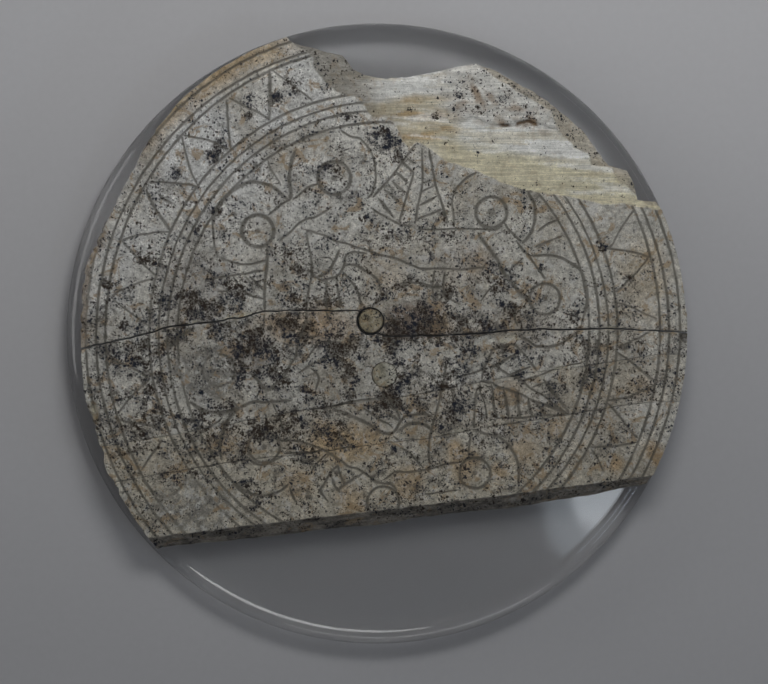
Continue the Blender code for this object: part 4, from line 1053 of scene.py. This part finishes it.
def turned_piece(name, profile, segments, centre, attributes=None, wobble=0.0, seed=0, sharp=30):
    """A turned piece: a profile of (radius, height) from the middle of its top to the middle of its underside."""
    verts, faces = [], []
    cx, cy = centre
    rings = []
    t = np.linspace(0, math.tau, segments, endpoint=False)
    for r, z in profile:
        if r == 0:
            rings.append([len(verts)])
            verts.append((cx, cy, z))
        else:
            rings.append(list(range(len(verts), len(verts) + segments)))
            rr = r + wobble * (noise(3 * np.cos(t) + 5, 3 * np.sin(t) + z, seed) - 0.5) * (r > 0.5)
            zz = z + 0.6 * wobble * (noise(2.2 * r * np.cos(t) + 9, 2.2 * r * np.sin(t), seed + 1) - 0.5) * (z > PLATE_FOOT)
            verts += list(zip(cx + rr * np.cos(t), cy + rr * np.sin(t), zz))
    for upper, lower in zip(rings, rings[1:]):
        for i in range(segments):
            j = (i + 1) % segments
            if len(upper) == 1:
                faces.append((upper[0], lower[i], lower[j]))
            elif len(lower) == 1:
                faces.append((upper[i], lower[0], upper[j]))
            else:
                faces.append((upper[i], lower[i], lower[j], upper[j]))
    verts = np.array(verts)
    return make_object(name, verts, faces, attributes(verts) if attributes else {}, sharp)


def arc(cr, cz, radius, start, end, n):
    a = np.radians(np.linspace(start, end, n + 1))
    return [(float(cr + radius * math.cos(v)), float(cz + radius * math.sin(v))) for v in a]


def build_disc():
    """The clear disc: flat faces and a full round edge, polished."""
    r, t, e = DISC_R, DISC_T, DISC_T / 2
    flat = [r - e - 0.02, r - e - 0.3, r - e - 2.8, 38, 25, 12, 0]
    profile = [*((v, t) for v in reversed(flat)), *arc(r - e, e, e, 90, -90, 44), *((v, 0) for v in flat)]
    return turned_piece("display_disc_turned", profile, 320, (0, 0), sharp=50)


def peg_profile(radius, top, crown):
    rows = [(0, top)]
    for k in (0.15, 0.3, 0.45, 0.6, 0.72, 0.82):
        rows.append((radius * k, top - crown * k * k))
    rows += arc(radius - 0.22, top - crown - 0.22, 0.22, 78, 0, 4)
    for z in (8.4, 7.8, 7.2, 6.6):
        rows.append((radius - 0.01 * (8.4 - z), z))
    return [*rows, (radius - 0.12, PLATE_FOOT), (0, PLATE_FOOT)]


def build_pegs():
    def looks(base, light, centre, lit_side_direction):
        def make(v):
            x, y = v[:, 0], v[:, 1]
            n = len(v)
            r = np.hypot(x - centre[0], y - centre[1])
            tint = np.tile(np.array(base), (n, 1))
            tint = mix(tint, np.array(base) * 0.72, ramp(layered(x * 0.9, y * 0.9, 701, 3), 0.42, 0.7))
            # painted light and shade: the peg's top grades to the paler colour on the side its direction argument
            # points to, and is darker on the far side, where the hole's wall would shade it
            tint = mix(tint, light, ramp((x - centre[0]) * lit_side_direction[0] + (y - centre[1]) * lit_side_direction[1], -0.3, 1.2) * 0.75)
            # painted shade: a dark ring round the peg's edge, where it meets the gap in its hole
            tint = mix(tint, [0.16, 0.145, 0.115], ramp(r, 1.78, 2.0) * 0.6)
            # painted shade: the shaft below the top, down in the hole, is darkened here and again through its 'side'
            # value in the material
            low = ramp(v[:, 2], 9.0, 8.5)
            return {"tint": mix(tint, [0.18, 0.16, 0.13], low * 0.6), "speck": np.full(n, 0.30) + 0.2 * low,
                    "dirt": np.zeros(n), "grain": np.full(n, 0.1), "side": low}
        return make
    # each call gives the base colour, the painted lit-side colour, the hole centre and the direction of the lit side
    loose = turned_piece("centre_peg_turned", peg_profile(PEG_R, 9.12, 0.10), 56, (HOLE[0] + 0.10, HOLE[1] + 0.08),
                         looks((0.40, 0.35, 0.235), (0.42, 0.375, 0.27), HOLE, (0.8, 0.6)), 0.05, 711)
    tight = turned_piece("second_peg_turned", peg_profile(SECOND_PEG_R, 9.42, 0.06), 56, SECOND_HOLE,
                         looks((0.38, 0.36, 0.275), (0.56, 0.55, 0.48), SECOND_HOLE, (0.95, 0.2)), 0.05, 721)
    return loose, tight


# ---------------------------------------------------------------- materials

class Nodes:
    """A short way to write node trees."""

    def __init__(self, name):
        self.material = bpy.data.materials.new(name)
        self.material.use_nodes = True
        self.tree = self.material.node_tree
        self.bsdf = self.tree.nodes["Principled BSDF"]

    def node(self, kind, inputs=None, **settings):
        n = self.tree.nodes.new(kind)
        for key, value in settings.items():
            setattr(n, key, value)
        for key, value in (inputs or {}).items():
            if isinstance(value, bpy.types.NodeSocket):
                self.tree.links.new(value, n.inputs[key])
            else:
                n.inputs[key].default_value = value
        return n

    def millimetres(self, scale=(1, 1, 1), turn=0.0):
        where = self.node("ShaderNodeTexCoord").outputs["Object"]
        return self.node("ShaderNodeMapping", {0: where, 2: (0, 0, turn), 3: tuple(1000 * s for s in scale)}).outputs[0]

    def grain(self, where, scale, detail=4.0, rough=0.55, distortion=0.0):
        return self.node("ShaderNodeTexNoise", {"Vector": where, "Scale": scale, "Detail": detail, "Roughness": rough,
                                                "Distortion": distortion}).outputs["Fac"]

    def span(self, value, a, b, c, d, smooth=False):
        n = self.node("ShaderNodeMapRange", {"Value": value, "From Min": a, "From Max": b, "To Min": c, "To Max": d})
        if smooth:
            n.interpolation_type = "SMOOTHSTEP"
        return n.outputs[0]

    def math(self, op, a, b=0.0, clamp=False):
        return self.node("ShaderNodeMath", {0: a, 1: b}, operation=op, use_clamp=clamp).outputs[0]

    def blend(self, factor, a, b, mode="MIX"):
        n = self.node("ShaderNodeMix", {0: factor, 6: a, 7: b}, data_type="RGBA", blend_type=mode)
        return n.outputs[2]

    def attribute(self, name, colour=False):
        n = self.node("ShaderNodeAttribute", attribute_name=name)
        return n.outputs["Color" if colour else "Fac"]

    def set(self, key, value):
        if isinstance(value, bpy.types.NodeSocket):
            self.tree.links.new(value, self.bsdf.inputs[key])
        else:
            self.bsdf.inputs[key].default_value = value


def worn_shell(name, polish, fleck=1.0):
    """The plate's own material: a pale, layered, stained body with a worn polish on its face."""
    m = Nodes(name)
    at = m.millimetres()
    tint, speck = m.attribute("tint", True), m.attribute("speck")
    dirt, grain, side = m.attribute("dirt"), m.attribute("grain"), m.attribute("side")
    smooth_face = m.span(grain, 0.0, 0.6, 1.0, 0.0)
    blotch = m.grain(at, 0.30, 6, 0.62)
    mottle = m.grain(at, 1.25, 7, 0.70)
    tiny = m.grain(at, 4.6, 4, 0.66)
    streaks = m.grain(m.millimetres((0.13, 1.7, 2.6), math.radians(-4)), 1.0, 5, 0.66)
    threads = m.grain(m.millimetres((0.22, 4.6, 3.0), math.radians(-2)), 1.0, 3, 0.6)

    # light and dark mottling, strong on the polished face
    value = m.math("MULTIPLY", m.span(blotch, 0.34, 0.66, 0.84, 1.20), m.span(mottle, 0.34, 0.66, 0.66, 1.34))
    value = m.math("MULTIPLY", value, m.span(tiny, 0.36, 0.64, 0.70, 1.30))
    value = m.math("ADD", m.math("MULTIPLY", m.math("SUBTRACT", value, 1.0), m.span(grain, 0.0, 1.0, 1.0, 0.42)), 1.0)
    lamina = m.math("MULTIPLY", m.span(streaks, 0.36, 0.64, 0.80, 1.14), m.span(threads, 0.36, 0.64, 0.84, 1.12))
    lamina = m.math("ADD", m.math("MULTIPLY", m.math("SUBTRACT", lamina, 1.0), grain), 1.0)
    value = m.math("MULTIPLY", value, lamina)
    shade = m.node("ShaderNodeCombineColor", {0: value, 1: value, 2: value}).outputs[0]
    colour = m.blend(1.0, tint, shade, "MULTIPLY")

    # chalky patches, rusty and tan clouds
    speck_here = m.math("MULTIPLY", speck, m.span(m.grain(at, 0.27, 7, 0.72), 0.43, 0.58, 0.18, 1.95))
    chalk = m.span(m.grain(at, 0.62, 8, 0.74, 0.5), 0.53, 0.60, 0.0, 1.0, True)
    colour = m.blend(m.math("MULTIPLY", chalk, m.math("MULTIPLY", smooth_face, 0.50 * fleck)), colour,
                     (0.66, 0.66, 0.645, 1))
    rust = m.span(m.grain(at, 0.36, 7, 0.72, 0.8), 0.535, 0.61, 0.0, 0.72, True)
    colour = m.blend(m.math("MULTIPLY", rust, m.span(grain, 0.0, 1.0, 1.0, 0.30)), colour, (0.36, 0.255, 0.14, 1))

    # a grey-brown film, coarse and fine, that thickens where the face is most specked
    coarse = m.grain(at, 0.33, 9, 0.76, 0.3)
    fine = m.grain(at, 1.3, 8, 0.80)
    both = m.math("ADD", m.math("MULTIPLY", coarse, 0.55), m.math("MULTIPLY", fine, 0.45))
    film = m.span(m.math("SUBTRACT", both, m.span(speck_here, 0.0, 1.0, 0.552, 0.425)), 0.0, 0.070, 0.0, 1.0)
    colour = m.blend(m.math("MULTIPLY", film, m.span(grain, 0.0, 1.0, 0.78 * fleck, 0.30)), colour,
                     (0.098, 0.091, 0.078, 1))

    # ragged dark stains, then small dark spots in three sizes, crowded into clusters
    crowd = m.math("MULTIPLY", speck_here, m.span(dirt, 0.0, 1.0, 1.0, 0.50))
    ragged = m.grain(at, 0.85, 8, 0.78, 0.6)
    smudge = m.span(m.math("SUBTRACT", ragged, m.span(crowd, 0.0, 1.1, 0.622, 0.478)), 0.0, 0.036, 0.0, 0.94, True)
    smudge = m.math("MULTIPLY", smudge, m.span(m.grain(at, 2.4, 5, 0.72), 0.45, 0.53, 0.05 * fleck, fleck))
    dark = m.blend(m.span(blotch, 0.44, 0.56, 0.0, 1.0), (0.022, 0.027, 0.042, 1), (0.046, 0.034, 0.026, 1))
    colour = m.blend(smudge, colour, dark)
    # dirt packed in the cuts
    packed = m.math("MULTIPLY", dirt, m.span(mottle, 0.32, 0.66, 0.66, 1.05), True)
    colour = m.blend(m.math("MULTIPLY", packed, 0.90), colour, (0.108, 0.101, 0.084, 1))

    sway = m.node("ShaderNodeTexNoise", {"Vector": at, "Scale": 2.4, "Detail": 4.0}).outputs["Color"]
    sway = m.node("ShaderNodeVectorMath", {0: sway, 1: (0.5, 0.5, 0.5)}, operation="SUBTRACT").outputs[0]
    sway = m.node("ShaderNodeVectorMath", {0: sway, "Scale": 0.9}, operation="SCALE").outputs[0]
    loose_at = m.node("ShaderNodeVectorMath", {0: at, 1: sway}, operation="ADD").outputs[0]
    spots = None
    for scale, size, start, low, high, strength in ((1.05, 0.44, 0.26, 0.0, 0.60, 0.97), (2.0, 0.48, 0.02, 0.02, 0.90, 0.96),
                                                    (3.6, 0.52, 0.00, 0.03, 0.98, 0.92)):
        cell = m.node("ShaderNodeTexVoronoi", {"Vector": loose_at, "Scale": scale, "Randomness": 1.0},
                      voronoi_dimensions="2D")
        parts = m.node("ShaderNodeSeparateColor", {0: cell.outputs["Color"]})
        radius = m.span(parts.outputs[1], 0.0, 1.0, size * 0.45, size)
        body = m.span(m.math("SUBTRACT", radius, cell.outputs["Distance"]), 0.0, 0.06, 0.0, 1.0, True)
        chance = m.math("MULTIPLY", m.span(crowd, start, 1.0, low, high), m.span(side, 0.0, 1.0, 1.0, 0.3))
        there = m.span(m.math("SUBTRACT", chance, parts.outputs[0]), 0.0, 0.04, 0.0, strength)
        spot = m.math("MULTIPLY", body, there)
        spots = spot if spots is None else m.math("MAXIMUM", spots, spot)
    colour = m.blend(spots, colour, dark)
    # painted shade: broken sides, crack and hole walls, the chipped arris and the pegs' shafts are darkened by up to
    # 40%, on top of the walls' own dark-brown tint
    wall_shade = m.math("SUBTRACT", 1.0, m.math("MULTIPLY", side, 0.40))
    wall_shade = m.node("ShaderNodeCombineColor", {0: wall_shade, 1: wall_shade, 2: wall_shade}).outputs[0]
    colour = m.blend(1.0, colour, wall_shade, "MULTIPLY")
    m.set("Base Color", colour)

    rough = m.span(mottle, 0.3, 0.7, polish, polish + 0.2)
    rough = m.math("ADD", rough, m.math("MULTIPLY", m.math("MAXIMUM", m.math("MAXIMUM", grain, dirt), side), 0.22), True)
    m.set("Roughness", rough)
    m.set("IOR", 1.52)
    m.set("Specular IOR Level", m.span(m.math("MAXIMUM", spots, smudge), 0.0, 0.8, 0.45, 0.12))
    relief = m.math("ADD", m.math("MULTIPLY", mottle, 0.55), m.math("MULTIPLY", tiny, 0.3))
    lines = m.math("ADD", m.math("MULTIPLY", streaks, 1.0), m.math("MULTIPLY", threads, 0.7))
    relief = m.math("ADD", relief, m.math("MULTIPLY", lines, grain))
    relief = m.math("SUBTRACT", relief, m.math("MULTIPLY", m.math("MAXIMUM", spots, smudge), 0.22))
    m.set("Normal", m.node("ShaderNodeBump", {"Height": relief, "Strength": 0.7, "Distance": 0.00012}).outputs[0])
    return m.material


def clear_plastic():
    """Clear acrylic: a clean body with faint polishing marks, rubbed patches and a little dust."""
    m = Nodes("clear_acrylic")
    at = m.millimetres()
    rub = m.grain(at, 0.09, 4, 0.6)
    dust = m.span(m.grain(at, 2.6, 3, 0.7), 0.745, 0.79, 0.0, 1.0, True)
    scratch = m.span(m.grain(m.millimetres((0.05, 2.6, 1), math.radians(28)), 1.0, 3, 0.7), 0.66, 0.72, 0.0, 1.0, True)
    m.set("Base Color", m.blend(dust, (0.994, 0.996, 0.997, 1), (0.42, 0.44, 0.45, 1)))
    rough = m.math("ADD", m.span(rub, 0.42, 0.72, 0.012, 0.05), m.math("MULTIPLY", dust, 0.25))
    m.set("Roughness", m.math("ADD", rough, m.math("MULTIPLY", scratch, 0.05)))
    m.set("IOR", 1.49)
    m.set("Transmission Weight", 1.0)
    height = m.math("ADD", m.math("MULTIPLY", scratch, -0.4), m.math("MULTIPLY", dust, 0.5))
    m.set("Normal", m.node("ShaderNodeBump", {"Height": height, "Strength": 0.15, "Distance": 0.00001}).outputs[0])
    return m.material


def paper(name):
    """The matt pale ground that the object lies on."""
    m = Nodes(name)
    at = m.millimetres()
    fibre = m.grain(at, 0.8, 6, 0.62)
    cloud = m.grain(at, 0.02, 3, 0.5)
    value = m.math("MULTIPLY", m.span(fibre, 0.3, 0.7, 0.985, 1.015), m.span(cloud, 0.3, 0.7, 0.99, 1.01))
    shade = m.node("ShaderNodeCombineColor", {0: value, 1: value, 2: value}).outputs[0]
    m.set("Base Color", m.blend(1.0, (0.600, 0.602, 0.622, 1), shade, "MULTIPLY"))
    m.set("Roughness", m.span(fibre, 0.3, 0.7, 0.85, 0.95))
    m.set("Specular IOR Level", 0.2)
    m.set("Normal", m.node("ShaderNodeBump", {"Height": fibre, "Strength": 0.25, "Distance": 0.00004}).outputs[0])
    return m.material


# ---------------------------------------------------------------- the scene

def finish_piece(ob, material, body, node):
    ob.data.materials.append(material)
    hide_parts(node)
    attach(ob, body)


def area_light(name, place, aim, size, power, colour, shape="RECTANGLE", size_y=None):
    data = bpy.data.lights.new(name, "AREA")
    data.shape = shape
    data.size = size
    data.size_y = size_y or size
    data.energy = power
    data.color = colour
    ob = bpy.data.objects.new(name, data)
    ob.location = place
    ob.rotation_euler = (Vector(aim) - Vector(place)).to_track_quat("-Z", "Y").to_euler()
    ob.visible_camera = False
    bpy.context.scene.collection.objects.link(ob)
    return ob


def studio():
    bpy.ops.mesh.primitive_grid_add(x_subdivisions=4, y_subdivisions=4, size=6.0, location=(0, 0, -0.00015))
    floor = bpy.context.object
    floor.name = "ground_sheet"
    floor.data.materials.append(paper("ground_paper"))
    world = bpy.data.worlds.new("soft_room")
    world.use_nodes = True
    world.node_tree.nodes["Background"].inputs[0].default_value = (0.985, 0.985, 1.0, 1)
    world.node_tree.nodes["Background"].inputs[1].default_value = 0.097
    bpy.context.scene.world = world
    lamp = bpy.data.lights.new("window", "SPOT")
    lamp.energy, lamp.color, lamp.shadow_soft_size = 2.29, (1.0, 0.992, 0.978), 0.098
    lamp.spot_size, lamp.spot_blend = math.radians(103), 0.33
    window = bpy.data.objects.new("window", lamp)
    window.location = (0.055, 0.222, 0.310)
    window.rotation_euler = (Vector((0.025, 0.257, 0.0)) - window.location).to_track_quat("-Z", "Y").to_euler()
    window.visible_camera = False
    window.visible_glossy = False
    bpy.context.scene.collection.objects.link(window)
    area_light("sky_patch", (0.106, -0.063, 1.5), (0.1055, -0.0627, 0.0), 0.052, 0.020, (0.86, 0.93, 1.0), "ELLIPSE", 0.044)
    area_light("sky_patch_soft", (0.104, -0.066, 1.5), (0.1035, -0.0657, 0.0), 0.078, 0.014, (0.80, 0.90, 1.0), "ELLIPSE", 0.062)
    area_light("far_window_high", (0.50, -0.36, 0.80), (0.03, -0.02, 0.0), 0.26, 0.24, (0.76, 0.87, 1.0), size_y=0.07)
    area_light("far_window_low", (0.74, -0.54, 0.42), (0.03, -0.02, 0.0), 0.26, 0.32, (0.76, 0.87, 1.0), size_y=0.07)
    area_light("low_glow_right", (0.89, 0.70, 0.30), (0.0, 0.0, 0.0), 0.60, 0.42, (1.0, 1.0, 1.0), size_y=0.12)
    area_light("low_glow_left", (-1.16, 0.31, 0.30), (0.0, 0.0, 0.0), 1.00, 2.50, (1.0, 0.99, 0.98), size_y=0.45)
    area_light("low_glow_front", (0.20, -1.30, 0.17), (0.0, 0.0, 0.0), 1.30, 1.90, (1.0, 1.0, 1.0), size_y=0.24)
    scene = bpy.context.scene
    scene.view_settings.view_transform = "Standard"
    scene.view_settings.look = "None"
    data = bpy.data.cameras.new("camera")
    data.sensor_width = 36
    data.lens = 256.6
    data.clip_start, data.clip_end = 0.01, 20
    camera = bpy.data.objects.new("camera", data)
    camera.location = (0.00122, -0.00139, 0.9)
    scene.collection.objects.link(camera)
    scene.camera = camera


def main():
    cut_design()
    scatter_pits()
    plate_look = worn_shell("engraved_shell", 0.50)
    peg_look = worn_shell("smooth_peg_shell", 0.38, 0.5)
    for name, outline, holes, foot_of, seed, rough, body, node in build_plate():
        piece = fragment(name + "_engraved", outline, holes, foot_of, seed, rough)
        finish_piece(piece, plate_look, body, node)
    loose, tight = build_pegs()
    finish_piece(loose, peg_look, "loose_peg", "centre_peg")
    finish_piece(tight, peg_look, "lower_plate", "second_peg")
    finish_piece(build_disc(), clear_plastic(), "display_mount", "display_disc")
    studio()


main()
